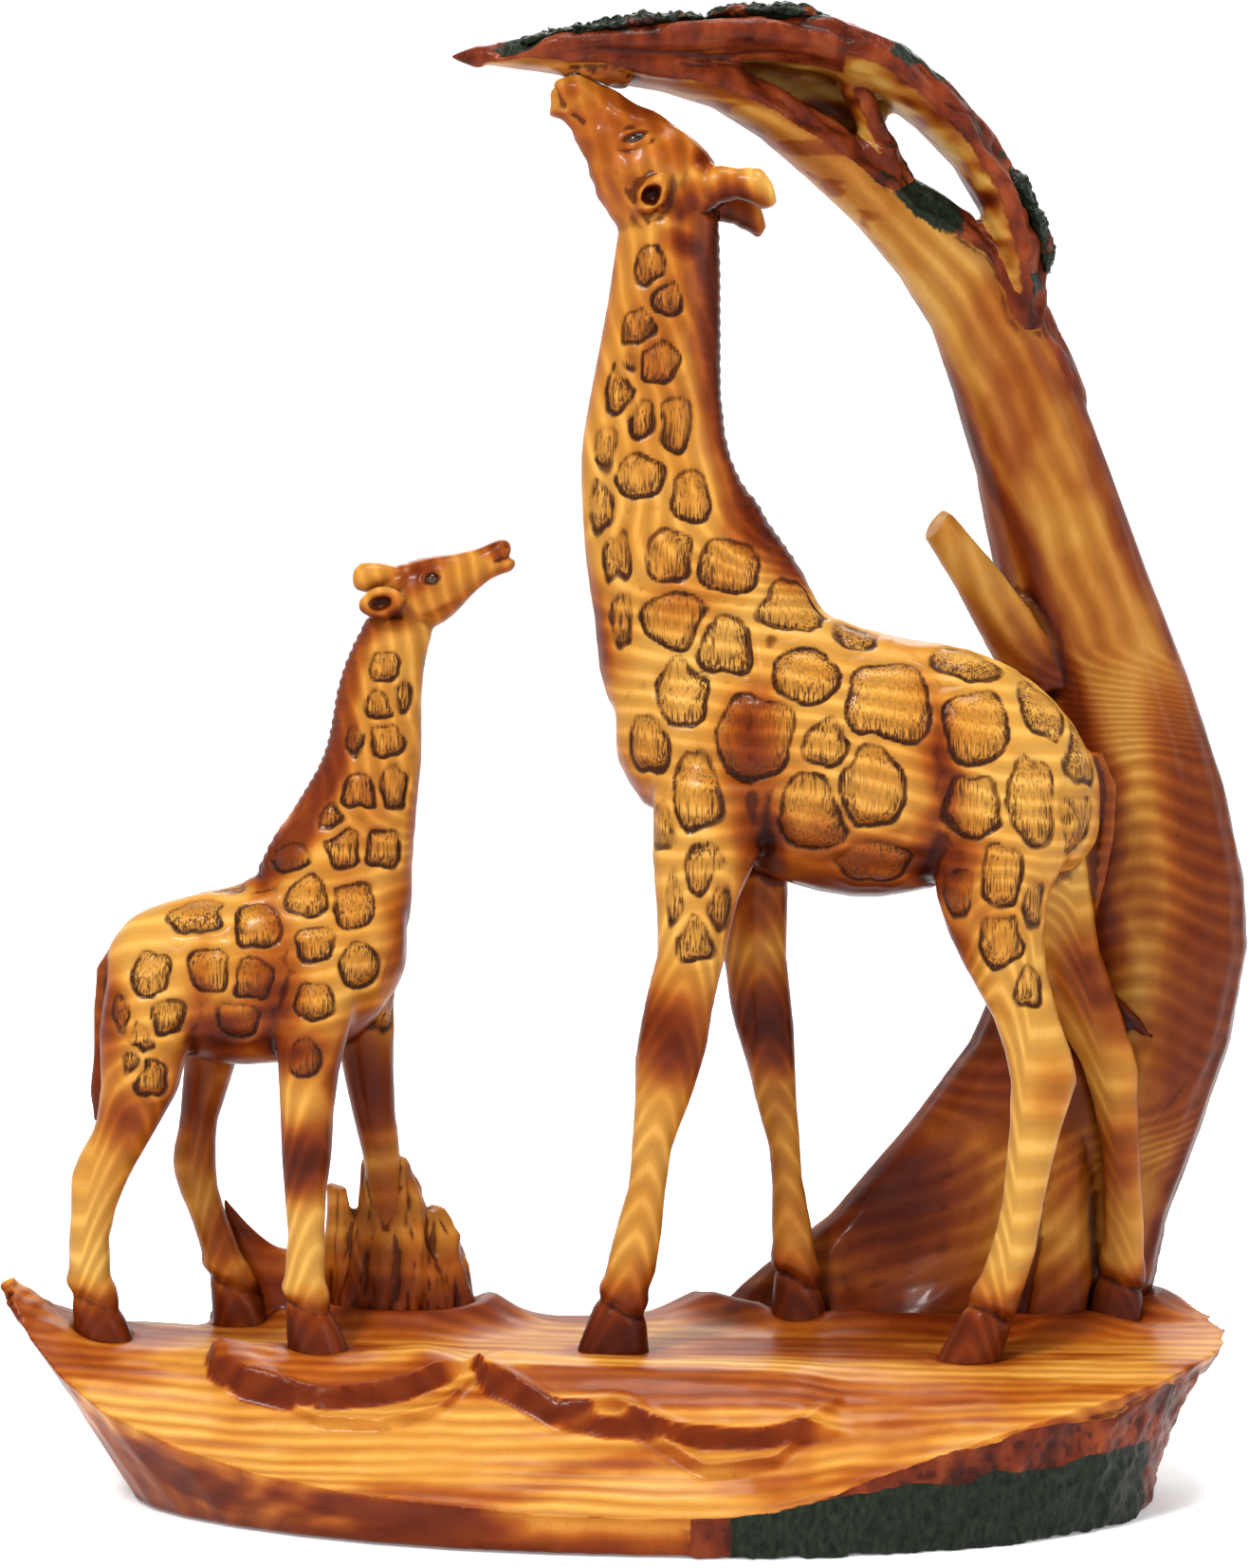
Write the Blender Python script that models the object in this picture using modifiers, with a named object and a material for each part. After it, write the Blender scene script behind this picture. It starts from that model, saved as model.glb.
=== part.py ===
"""Carved giraffe statue: a giraffe cow browsing from an arched tree, with her calf, on a carved slab.

The statue is an assembly of separate castings, glued and pinned together on a base slab.
Run with: blender --background --python part.py
Frame: metres, +Z up, the front of the statue faces -Y, the origin is under the middle of the base.
The tables below are in millimetres, and MM turns them into metres.
"""

import math

import bmesh
import bpy
from mathutils import Matrix, Vector

MM = 0.001

# Driving dimensions, in millimetres.
BASE_BOTTOM_Z = 0.3
FELT_THICKNESS = 1.0
FELT_INSET = 4.0
GAP = 0.42
PIN_RADIUS = 0.8
PIN_CLEARANCE = 0.3
PIN_IN_BASE = 8.0
PIN_IN_HOOF = 5.5
DOWEL_RADIUS = 2.5
DOWEL_HALF_LENGTH = 10.0
DOWEL_PLACES = {"left": (34.0, 25.0), "right": (62.0, 25.0)}
SKIN_VOXEL = 0.9
SKIN_PASSES = 10
SKIN_SWELL = 0.35
COW_SKIN_TRIANGLES = 4200
CALF_SKIN_TRIANGLES = 3200
SHARP_ANGLE = 45.0

# Each colour is linear RGB, then roughness.
FINISHES = {
    "honey_wood": ((0.55, 0.26, 0.07), 0.38),
    "red_wood": ((0.22, 0.05, 0.012), 0.35),
    "leaf_green": ((0.02, 0.045, 0.03), 0.6),
    "felt_green": ((0.03, 0.07, 0.04), 0.95),
    "steel_pin": ((0.5, 0.5, 0.5), 0.35),
    "raw_dowel": ((0.6, 0.42, 0.24), 0.7),
}


# ---------------------------------------------------------------- scene and objects


def clear_scene():
    for obj in list(bpy.data.objects):
        bpy.data.objects.remove(obj, do_unlink=True)


def new_collection(name):
    collection = bpy.data.collections.new(name)
    bpy.context.scene.collection.children.link(collection)
    return collection


def make_materials():
    made = {}
    for name, (colour, roughness) in FINISHES.items():
        material = bpy.data.materials.new(name)
        material.use_nodes = True
        shader = material.node_tree.nodes["Principled BSDF"]
        shader.inputs["Base Color"].default_value = (*colour, 1.0)
        shader.inputs["Roughness"].default_value = roughness
        shader.inputs["Metallic"].default_value = 1.0 if name == "steel_pin" else 0.0
        material.diffuse_color = (*colour, 1.0)
        made[name] = material
    return made


def object_from_bmesh(name, mesh_builder, collection, finish=None):
    """A smooth-shaded object from a bmesh, with its faces pointing out. A cutter has no finish."""
    mesh_builder.normal_update()
    bmesh.ops.recalc_face_normals(mesh_builder, faces=mesh_builder.faces)
    mesh = bpy.data.meshes.new(name)
    mesh_builder.to_mesh(mesh)
    mesh_builder.free()
    mesh.shade_smooth()
    obj = bpy.data.objects.new(name, mesh)
    collection.objects.link(obj)
    if finish:
        mesh.materials.append(MATERIALS[finish])
    else:
        obj.display_type = "WIRE"
        obj.hide_render = True
    return obj


def evaluated_mesh(obj):
    """The object's mesh with its modifiers, as a new mesh."""
    graph = bpy.context.evaluated_depsgraph_get()
    graph.update()
    return bpy.data.meshes.new_from_object(obj.evaluated_get(graph))


def boolean(target, tools, operation):
    """Joins or cuts the target with each tool, keeps the result, and removes the tools."""
    for tool in tools:
        modifier = target.modifiers.new(operation.lower(), "BOOLEAN")
        modifier.operation = operation
        modifier.object = tool
        finish = target.data.materials[0]
        result = evaluated_mesh(target)
        target.modifiers.clear()
        target.data = result
        result.materials.clear()
        result.materials.append(finish)
        bpy.data.objects.remove(tool, do_unlink=True)
    target.data.shade_smooth()
    return target


def ease_creases(obj, voxel, passes, faces):
    """One smooth skin over joined limbs, thinned to about this many triangles."""
    skin = obj.modifiers.new("skin", "REMESH")
    skin.mode = "VOXEL"
    skin.voxel_size = voxel * MM
    smooth = obj.modifiers.new("smooth", "SMOOTH")
    smooth.factor = 0.5
    smooth.iterations = passes
    swell = obj.modifiers.new("swell", "DISPLACE")
    swell.mid_level = 0.0
    swell.strength = SKIN_SWELL * MM
    full = evaluated_mesh(obj)
    thin = obj.modifiers.new("thin", "DECIMATE")
    thin.ratio = min(1.0, faces / (2 * len(full.polygons)))
    finish = obj.data.materials[0]
    result = evaluated_mesh(obj)
    obj.modifiers.clear()
    bpy.data.meshes.remove(full)
    obj.data = result
    result.materials.clear()
    result.materials.append(finish)
    result.shade_smooth()


def join(target, *parts):
    return boolean(target, parts, "UNION")


def cut(target, *cutters):
    return boolean(target, cutters, "DIFFERENCE")


def clearance_of(obj, gap=GAP):
    """A cutter a little larger than obj, so that a neighbour cut by it stays clear of it."""
    mesh = obj.data.copy()
    builder = bmesh.new()
    builder.from_mesh(mesh)
    builder.normal_update()
    moves = [vertex.normal * gap * MM for vertex in builder.verts]
    for vertex, move in zip(builder.verts, moves):
        vertex.co += move
    bpy.data.meshes.remove(mesh)
    return object_from_bmesh(obj.name + "_clearance", builder, CUTTERS)


# ---------------------------------------------------------------- shape builders


def smooth_between(stations, steps):
    """Catmull-Rom points through the stations, steps to a span."""
    points = []
    last = len(stations) - 1
    for i in range(last):
        p0, p1, p2, p3 = (stations[max(0, min(last, i + k))] for k in (-1, 0, 1, 2))
        for step in range(steps):
            t = step / steps
            point = []
            for a, b, c, d in zip(p0, p1, p2, p3):
                linear = c - a
                square = 2 * a - 5 * b + 4 * c - d
                cube = 3 * b - a - 3 * c + d
                point.append(b + 0.5 * t * (linear + t * (square + t * cube)))
            points.append(point)
    points.append(list(stations[-1]))
    return points


def section_ring(builder, station, sides, power):
    """One closed section. Half width lies along the tilted X-Z direction, half depth along Y."""
    x, y, z, half_width, half_depth, tilt = station
    across = Vector((math.cos(math.radians(tilt)), 0.0, math.sin(math.radians(tilt))))
    centre = Vector((x, y, z))
    ring = []
    for side in range(sides):
        angle = 2 * math.pi * side / sides
        c, s = math.cos(angle), math.sin(angle)
        along = math.copysign(abs(c) ** power, c) * half_width
        deep = math.copysign(abs(s) ** power, s) * half_depth
        point = centre + across * along + Vector((0.0, deep, 0.0))
        ring.append(builder.verts.new(point * MM))
    return ring


def loft(name, stations, finish=None, tilt=0.0, sides=12, steps=1, power=1.0, collection=None):
    """A closed skin over sections (x, y, z, half_width, half_depth[, tilt]), in millimetres.

    Tilt is the angle of a section's width above +X, in degrees, so 0 is a level slice and
    90 an upright one. Power below 1 squares the section off.
    """
    full = [station if len(station) == 6 else (*station, tilt) for station in stations]
    builder = bmesh.new()
    rings = [section_ring(builder, s, sides, power) for s in smooth_between(full, steps)]
    for lower, upper in zip(rings, rings[1:]):
        for side in range(sides):
            after = (side + 1) % sides
            builder.faces.new((lower[side], lower[after], upper[after], upper[side]))
    builder.faces.new(rings[0][::-1])
    builder.faces.new(rings[-1])
    return object_from_bmesh(name, builder, collection or STATUE, finish)


def cylinder(name, x, y, low_z, high_z, radius, finish=None, collection=None, sides=16):
    """An upright cylinder, in millimetres."""
    builder = bmesh.new()
    bmesh.ops.create_cone(
        builder,
        cap_ends=True,
        segments=sides,
        radius1=radius * MM,
        radius2=radius * MM,
        depth=(high_z - low_z) * MM,
    )
    middle = Vector((x, y, (low_z + high_z) / 2)) * MM
    bmesh.ops.translate(builder, verts=builder.verts, vec=middle)
    return object_from_bmesh(name, builder, collection or STATUE, finish)


def ease(low, high, value):
    t = max(0.0, min(1.0, (value - low) / (high - low)))
    return t * t * (3 - 2 * t)


# ---------------------------------------------------------------- base slab and felt

# The slab's upper edge, anticlockwise from its raised left tip: x, y, z.
RIM = [
    (-102.5, -4.0, 36.0),
    (-97.0, -14.0, 28.5),
    (-84.0, -25.0, 19.0),
    (-60.0, -34.0, 11.5),
    (-30.0, -40.5, 8.0),
    (0.0, -43.0, 6.5),
    (21.0, -42.5, 7.5),
    (36.0, -40.5, 12.0),
    (56.0, -36.0, 18.0),
    (76.0, -27.0, 22.0),
    (89.0, -14.0, 24.0),
    (96.0, 0.0, 25.0),
    (95.5, 15.0, 26.0),
    (86.0, 29.0, 26.0),
    (62.0, 39.0, 25.5),
    (33.0, 42.2, 22.0),
    (4.0, 43.0, 17.5),
    (-28.0, 41.0, 17.0),
    (-62.0, 32.0, 18.5),
    (-86.0, 19.0, 21.5),
    (-98.0, 7.0, 30.0),
]
# The outline of the slab's foot, point for point with RIM: x, y.
FOOT = [
    (-82.0, 4.0),
    (-80.5, -7.0),
    (-72.0, -17.5),
    (-53.0, -29.0),
    (-28.0, -37.5),
    (0.0, -41.5),
    (20.0, -42.0),
    (36.0, -40.0),
    (54.0, -35.0),
    (70.0, -27.0),
    (79.5, -16.0),
    (83.0, -1.0),
    (82.0, 13.5),
    (74.5, 26.0),
    (56.0, 35.0),
    (30.0, 39.0),
    (3.0, 39.5),
    (-27.0, 37.0),
    (-58.0, 29.0),
    (-75.0, 18.5),
    (-81.5, 10.5),
]
# Swells of the ground behind the calf and round the stump: x, y, reach in x, reach in y, height.
SWELLS = [
    (-38.0, 15.0, 16.0, 9.0, 4.0),
    (20.0, 20.0, 18.0, 9.0, 2.0),
    (84.0, 18.0, 12.0, 12.0, 3.0),
]
# The thin root that climbs from the slab to the calf's far hind leg, in level slices.
CALF_ROOT = [
    (-58.5, 16.0, 19.0, 14.0, 7.0),
    (-58.5, 15.5, 27.0, 12.5, 5.5),
    (-61.5, 14.5, 33.0, 7.5, 4.0),
    (-65.0, 13.5, 39.0, 4.4, 3.2),
    (-68.0, 12.6, 45.0, 2.4, 2.4),
    (-69.4, 12.2, 48.5, 1.0, 1.2),
]
GROUND_Z = 25.0
# The slab's rings: shares of the rim's reach on the top, then of the drop down the side.
TOP_SHARES = (0.15, 0.3, 0.42, 0.52, 0.62, 0.71, 0.8, 0.88, 0.95, 1.0)
SIDE_DROPS = (0.3, 0.62, 0.85, 1.0)
FALL_START = 0.42
LEDGE_ROOT = 2.5
ABOVE_SLAB_Z = 60.0
BELOW_SLAB_Z = -5.0
# Two carved steps on the slab's front slope: x, y, height of the layer's top over the slope.
LEDGES = [
    [
        (-67.0, -12.0, 0.9),
        (-65.0, -19.0, 1.5),
        (-56.0, -21.5, 1.6),
        (-50.0, -25.0, 1.9),
        (-40.0, -26.5, 2.0),
        (-31.0, -25.0, 1.7),
        (-25.0, -19.0, 1.4),
        (-32.0, -8.0, -0.9),
        (-52.0, -5.0, -0.9),
    ],
    [
        (-27.0, -18.0, 1.2),
        (-20.0, -23.5, 1.7),
        (-12.0, -28.5, 1.9),
        (-3.0, -28.0, 1.8),
        (4.0, -31.5, 2.0),
        (11.0, -35.0, 2.1),
        (21.0, -34.0, 1.6),
        (31.0, -27.0, 0.9),
        (30.0, -17.0, -0.9),
        (4.0, -9.0, -0.9),
        (-16.0, -9.0, -0.9),
    ],
]


def ground_height(x, y):
    """The height of the slab's trodden top away from its rim."""
    height = GROUND_Z - 0.012 * x
    for cx, cy, reach_x, reach_y, rise in SWELLS:
        height += rise * math.exp(-(((x - cx) / reach_x) ** 2) - ((y - cy) / reach_y) ** 2)
    return height


def closed_curve(points, steps):
    """A smooth closed curve through the points."""
    around = [points[-1], *points, points[0], points[1]]
    curve = smooth_between(around, steps)
    return curve[steps : steps + len(points) * steps]


def make_base_slab():
    """Rings of points from the middle of the top, over the rim and in under to the foot."""
    rim = closed_curve(RIM, 2)
    foot = closed_curve(FOOT, 2)
    builder = bmesh.new()
    rings = []
    for share in TOP_SHARES:
        ring = []
        for x, y, z in rim:
            px, py = x * share, y * share
            height = ground_height(px, py)
            fall = ease(FALL_START, 1.0, share) if z < height else share**9
            ring.append(builder.verts.new(Vector((px, py, height + (z - height) * fall)) * MM))
        rings.append(ring)
    for drop in SIDE_DROPS:
        ring = []
        for (x, y, z), (fx, fy) in zip(rim, foot):
            height = z + (BASE_BOTTOM_Z - z) * drop
            reach = drop ** (0.95 if x < 0 else 0.55)
            point = Vector((x + (fx - x) * reach, y + (fy - y) * reach, height))
            ring.append(builder.verts.new(point * MM))
        rings.append(ring)
    middle = builder.verts.new(Vector((0.0, 0.0, ground_height(0.0, 0.0))) * MM)
    under = builder.verts.new(Vector((0.0, 0.0, BASE_BOTTOM_Z)) * MM)
    count = len(rim)
    for i in range(count):
        after = (i + 1) % count
        builder.faces.new((middle, rings[0][i], rings[0][after]))
        builder.faces.new((under, rings[-1][after], rings[-1][i]))
        for inner, outer in zip(rings, rings[1:]):
            builder.faces.new((inner[i], outer[i], outer[after], inner[after]))
    slab = object_from_bmesh("base_slab", builder, STATUE, "honey_wood")
    ledges = [make_ledge(slab, ledge) for ledge in LEDGES]
    return join(slab, *ledges, loft("calf_root", CALF_ROOT, sides=12, collection=CUTTERS))


def make_ledge(slab, outline):
    """A thin layer of the slab that ends in a step. It lies on the slab's top."""
    builder = bmesh.new()
    upper, lower = [], []
    for x, y, step in outline:
        place = Vector((x, y, ABOVE_SLAB_Z)) * MM
        _, hit, _, _ = slab.ray_cast(place, Vector((0.0, 0.0, -1.0)))
        upper.append(builder.verts.new(hit + Vector((0.0, 0.0, step * MM))))
        lower.append(builder.verts.new(hit - Vector((0.0, 0.0, LEDGE_ROOT * MM))))
    count = len(outline)
    builder.faces.new(upper)
    builder.faces.new(lower[::-1])
    for i in range(count):
        after = (i + 1) % count
        builder.faces.new((lower[i], lower[after], upper[after], upper[i]))
    bmesh.ops.triangulate(builder, faces=builder.faces)
    return object_from_bmesh("ledge", builder, CUTTERS)


def felt_solid(name, inset, low_z, high_z, collection, finish=None):
    """A flat sheet with the foot's outline, drawn in by the inset."""
    curve = closed_curve(FOOT, 2)
    builder = bmesh.new()
    ring = []
    for x, y in curve:
        shrink = 1.0 - inset / math.hypot(x, y)
        ring.append(builder.verts.new(Vector((x * shrink, y * shrink, low_z)) * MM))
    face = builder.faces.new(ring)
    raised = bmesh.ops.extrude_face_region(builder, geom=[face])
    lifted = [item for item in raised["geom"] if isinstance(item, bmesh.types.BMVert)]
    bmesh.ops.translate(builder, verts=lifted, vec=(0.0, 0.0, (high_z - low_z) * MM))
    return object_from_bmesh(name, builder, collection, finish)


# ---------------------------------------------------------------- tree

# Level slices up the trunk, then slices that turn with the bough to its tip at the left.
TRUNK = [
    (45.0, 22.0, 20.0, 36.0, 9.5, 0.0),
    (49.0, 22.5, 25.0, 36.5, 10.0, 0.0),
    (54.0, 23.5, 32.0, 33.5, 10.2, 0.0),
    (61.0, 24.5, 41.5, 28.4, 10.5, 0.0),
    (70.2, 25.0, 56.0, 24.8, 11.0, 0.0),
    (78.0, 25.5, 70.5, 22.0, 12.0, 0.0),
    (82.5, 25.5, 86.5, 20.0, 12.5, 0.0),
    (83.5, 25.5, 98.0, 18.4, 12.5, 0.0),
    (81.8, 25.0, 114.0, 16.4, 12.2, 0.0),
    (77.8, 24.5, 131.0, 14.4, 11.0, 0.0),
    (72.4, 24.0, 149.0, 12.6, 10.0, 0.0),
    (67.5, 23.0, 165.5, 11.2, 9.5, 0.0),
    (61.5, 21.0, 182.0, 9.8, 9.0, 12.0),
    (56.5, 19.0, 193.5, 9.0, 8.5, 25.0),
    (48.5, 17.0, 202.5, 7.2, 8.0, 42.0),
    (39.5, 14.5, 210.0, 5.4, 7.5, 46.0),
    (30.5, 12.0, 217.0, 4.4, 7.5, 48.0),
    (22.0, 9.5, 223.2, 3.9, 7.0, 54.0),
    (13.0, 7.0, 227.6, 3.2, 7.0, 70.0),
    (4.0, 5.0, 229.6, 2.7, 7.0, 84.0),
    (-6.0, 3.5, 230.6, 2.2, 6.5, 88.0),
    (-18.0, 2.5, 231.4, 1.5, 5.0, 90.0),
    (-28.5, 2.0, 231.9, 0.7, 2.2, 90.0),
]
BOWL_CENTRE = (40.0, 5.0, 50.0)
BOWL_RADII = (24.0, 14.5, 30.0)
# The upper rib of the crown, from its heel on the trunk over the top to the left.
CREST = [
    (63.0, 18.5, 189.0, 3.8, 6.5, 8.0),
    (62.3, 17.5, 200.5, 3.6, 8.5, 6.0),
    (59.2, 16.5, 210.2, 3.5, 9.5, 25.0),
    (54.4, 15.0, 217.8, 3.6, 10.0, 38.0),
    (48.0, 13.7, 224.6, 3.9, 11.0, 44.0),
    (39.8, 12.2, 230.8, 4.2, 12.0, 56.0),
    (30.2, 10.8, 234.4, 4.2, 12.5, 76.0),
    (19.7, 9.3, 235.4, 3.7, 12.5, 90.0),
    (9.0, 7.9, 234.3, 3.1, 12.0, 94.0),
    (-2.0, 6.4, 233.7, 2.4, 11.0, 93.0),
    (-14.0, 5.0, 233.0, 1.6, 8.5, 92.0),
    (-23.0, 4.0, 232.4, 0.8, 5.0, 92.0),
]
STRUTS = [
    [(33.5, 9.0, 231.5, 2.6, 4.5), (37.3, 10.0, 222.5, 1.9, 3.2), (41.8, 12.0, 212.5, 2.6, 4.5)],
    [(10.5, 5.5, 232.5, 2.4, 4.0), (18.8, 6.0, 226.5, 1.7, 2.6), (26.0, 8.0, 220.0, 2.2, 3.6)],
]
STRUT_TILT = 28.0
# The thin wall that closes the back of the left cavity between bough and rib.
BACK_WALL = [
    (8.0, 11.5, 231.0, 2.2, 1.2, 90.0),
    (15.0, 13.0, 229.8, 4.6, 1.4, 84.0),
    (24.0, 15.0, 227.0, 7.2, 1.5, 66.0),
    (32.0, 16.5, 223.0, 8.0, 1.5, 56.0),
    (37.0, 17.5, 219.6, 8.0, 1.4, 48.0),
]
STUB = [
    (68.0, 19.0, 130.0, 6.0, 5.0, 36.0),
    (61.0, 15.0, 140.5, 4.8, 4.4, 36.0),
    (55.0, 12.5, 149.5, 3.7, 3.6, 35.0),
    (49.0, 11.0, 157.6, 2.8, 3.0, 30.0),
    (47.6, 10.8, 159.8, 1.4, 1.8, 20.0),
]
# Leaf crusts on the crown, as sections like the rib's, raised off it.
FOLIAGE = {
    "foliage_tip": [
        (-18.0, 4.3, 233.8, 0.6, 5.0, 94.0),
        (-13.0, 5.0, 234.9, 1.1, 7.5, 94.0),
        (-3.0, 6.2, 236.2, 1.2, 10.0, 94.0),
        (5.0, 7.4, 237.3, 1.2, 11.0, 94.0),
        (10.0, 8.0, 237.9, 0.7, 8.0, 94.0),
    ],
    "foliage_crown": [
        (11.5, 8.2, 238.2, 0.6, 7.0, 92.0),
        (15.0, 8.8, 238.7, 1.2, 11.0, 90.0),
        (21.0, 9.5, 238.8, 1.2, 11.5, 88.0),
        (27.0, 10.4, 238.5, 1.1, 11.0, 82.0),
        (31.0, 11.0, 237.8, 0.6, 7.0, 78.0),
    ],
    "foliage_shoulder": [
        (37.5, 12.0, 234.4, 0.6, 6.0, 58.0),
        (41.5, 12.5, 232.6, 1.6, 10.0, 54.0),
        (47.0, 13.7, 228.6, 1.7, 10.0, 46.0),
        (51.5, 14.6, 224.2, 1.5, 9.0, 42.0),
        (54.5, 15.2, 221.2, 0.6, 5.0, 38.0),
    ],
    "foliage_heel": [
        (58.8, 16.0, 216.3, 0.6, 4.0, 30.0),
        (61.6, 16.5, 212.6, 1.6, 7.0, 24.0),
        (64.6, 17.0, 207.2, 1.7, 7.0, 14.0),
        (66.4, 17.3, 202.0, 1.2, 6.0, 8.0),
        (66.8, 17.6, 198.6, 0.6, 4.0, 6.0),
    ],
}
# A root that comes down in front of the trunk, between the cow's hind legs.
ROOT = [
    (72.0, 18.0, 62.0, 4.0, 3.5),
    (71.3, 17.0, 50.0, 4.6, 4.6),
    (71.0, 16.0, 38.0, 4.9, 5.0),
    (70.6, 15.0, 29.0, 6.0, 5.6),
    (70.2, 15.0, 22.5, 7.4, 6.4),
]
STUMP = [
    (-38.6, 14.0, 21.5, 14.0, 9.0),
    (-38.8, 14.0, 26.5, 12.6, 8.4),
    (-39.3, 14.0, 33.5, 9.4, 7.0),
    (-40.2, 13.8, 40.0, 6.6, 5.6),
    (-40.8, 13.4, 46.0, 4.6, 4.6),
    (-41.4, 13.0, 52.0, 3.4, 3.6),
]
STUMP_SPIKES = [
    [(-47.6, 14.0, 24.0, 4.0, 4.0), (-48.0, 14.0, 36.0, 3.2, 3.2), (-49.4, 14.0, 48.0, 1.7, 2.0)],
    [(-30.6, 14.0, 24.0, 5.0, 5.0), (-32.0, 14.0, 35.0, 3.6, 3.6), (-34.2, 14.0, 43.6, 1.4, 2.0)],
]


def make_tree():
    trunk = loft("tree_trunk", TRUNK, "honey_wood", sides=18, power=0.9)
    cut(trunk, bowl_cutter())
    join(trunk, loft("root", ROOT, sides=10, collection=CUTTERS))
    crest = loft("tree_crest", CREST, "red_wood", sides=14)
    leaves = [
        cut(loft(name, stations, "leaf_green", sides=12), clearance_of(crest))
        for name, stations in FOLIAGE.items()
    ]
    for stations in STRUTS:
        crest = join(crest, loft("strut", stations, tilt=STRUT_TILT, sides=8, steps=2, collection=CUTTERS))
    crest = join(crest, loft("wall", BACK_WALL, sides=10, collection=CUTTERS))
    cut(crest, clearance_of(trunk))
    cut(loft("branch_stub", STUB, "honey_wood", sides=10), clearance_of(trunk))
    for crust in leaves:
        cut(crust, clearance_of(trunk))
        keep_largest(crust)
    return trunk


def bowl_cutter():
    """The rounded hollow that is carved out of the front of the trunk's flare."""
    builder = bmesh.new()
    bmesh.ops.create_uvsphere(builder, u_segments=24, v_segments=14, radius=MM)
    bmesh.ops.scale(builder, verts=builder.verts, vec=BOWL_RADII)
    bmesh.ops.translate(builder, verts=builder.verts, vec=Vector(BOWL_CENTRE) * MM)
    return object_from_bmesh("bowl", builder, CUTTERS)


def make_stump():
    stump = loft("tree_stump", STUMP, "honey_wood", sides=14)
    spikes = [loft("spike", s, sides=8, collection=CUTTERS) for s in STUMP_SPIKES]
    return join(stump, *spikes)


# ---------------------------------------------------------------- giraffes

COW_TORSO = [
    (-3.0, 1.5, 125.0, 5.0, 4.5),
    (0.5, 1.5, 125.0, 11.5, 9.0),
    (6.0, 1.5, 124.5, 15.0, 11.5),
    (13.5, 1.5, 123.5, 18.5, 13.2),
    (24.0, 1.5, 122.5, 23.0, 15.0),
    (35.0, 1.5, 119.2, 22.2, 15.5),
    (44.0, 1.5, 118.5, 20.8, 15.0),
    (53.5, 1.5, 118.8, 18.8, 15.0),
    (63.0, 1.5, 116.8, 16.4, 14.0),
    (70.5, 1.5, 113.5, 12.0, 11.0),
    (74.5, 1.5, 112.0, 5.5, 5.5),
]
COW_NECK = [
    (19.0, 1.5, 119.0, 12.0, 7.5),
    (14.5, 1.5, 129.0, 19.0, 10.6),
    (12.2, 1.5, 141.5, 18.8, 10.2),
    (8.8, 1.5, 151.5, 16.9, 9.0),
    (5.2, 1.5, 160.5, 13.9, 7.9),
    (3.0, 1.2, 168.5, 11.9, 7.2),
    (2.9, 1.0, 177.6, 10.3, 6.8),
    (3.8, 0.6, 188.0, 9.2, 6.4),
    (4.6, 0.3, 197.5, 8.4, 6.0),
    (4.9, 0.2, 207.0, 7.6, 5.5),
]
COW_HEAD = [
    (8.8, 0.2, 205.4, 6.4, 4.8, 45.0),
    (6.2, 0.2, 208.4, 9.0, 5.8, 45.0),
    (3.2, 0.1, 211.6, 9.4, 6.3, 45.0),
    (0.3, 0.0, 214.6, 8.6, 6.0, 46.0),
    (-2.5, 0.0, 217.7, 7.3, 5.1, 47.0),
    (-5.1, 0.0, 220.7, 5.7, 4.1, 48.0),
    (-7.7, 0.0, 223.4, 4.4, 3.5, 50.0),
    (-10.1, 0.0, 225.6, 3.9, 3.3, 50.0),
    (-12.0, 0.0, 227.1, 2.6, 2.4, 50.0),
]
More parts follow.
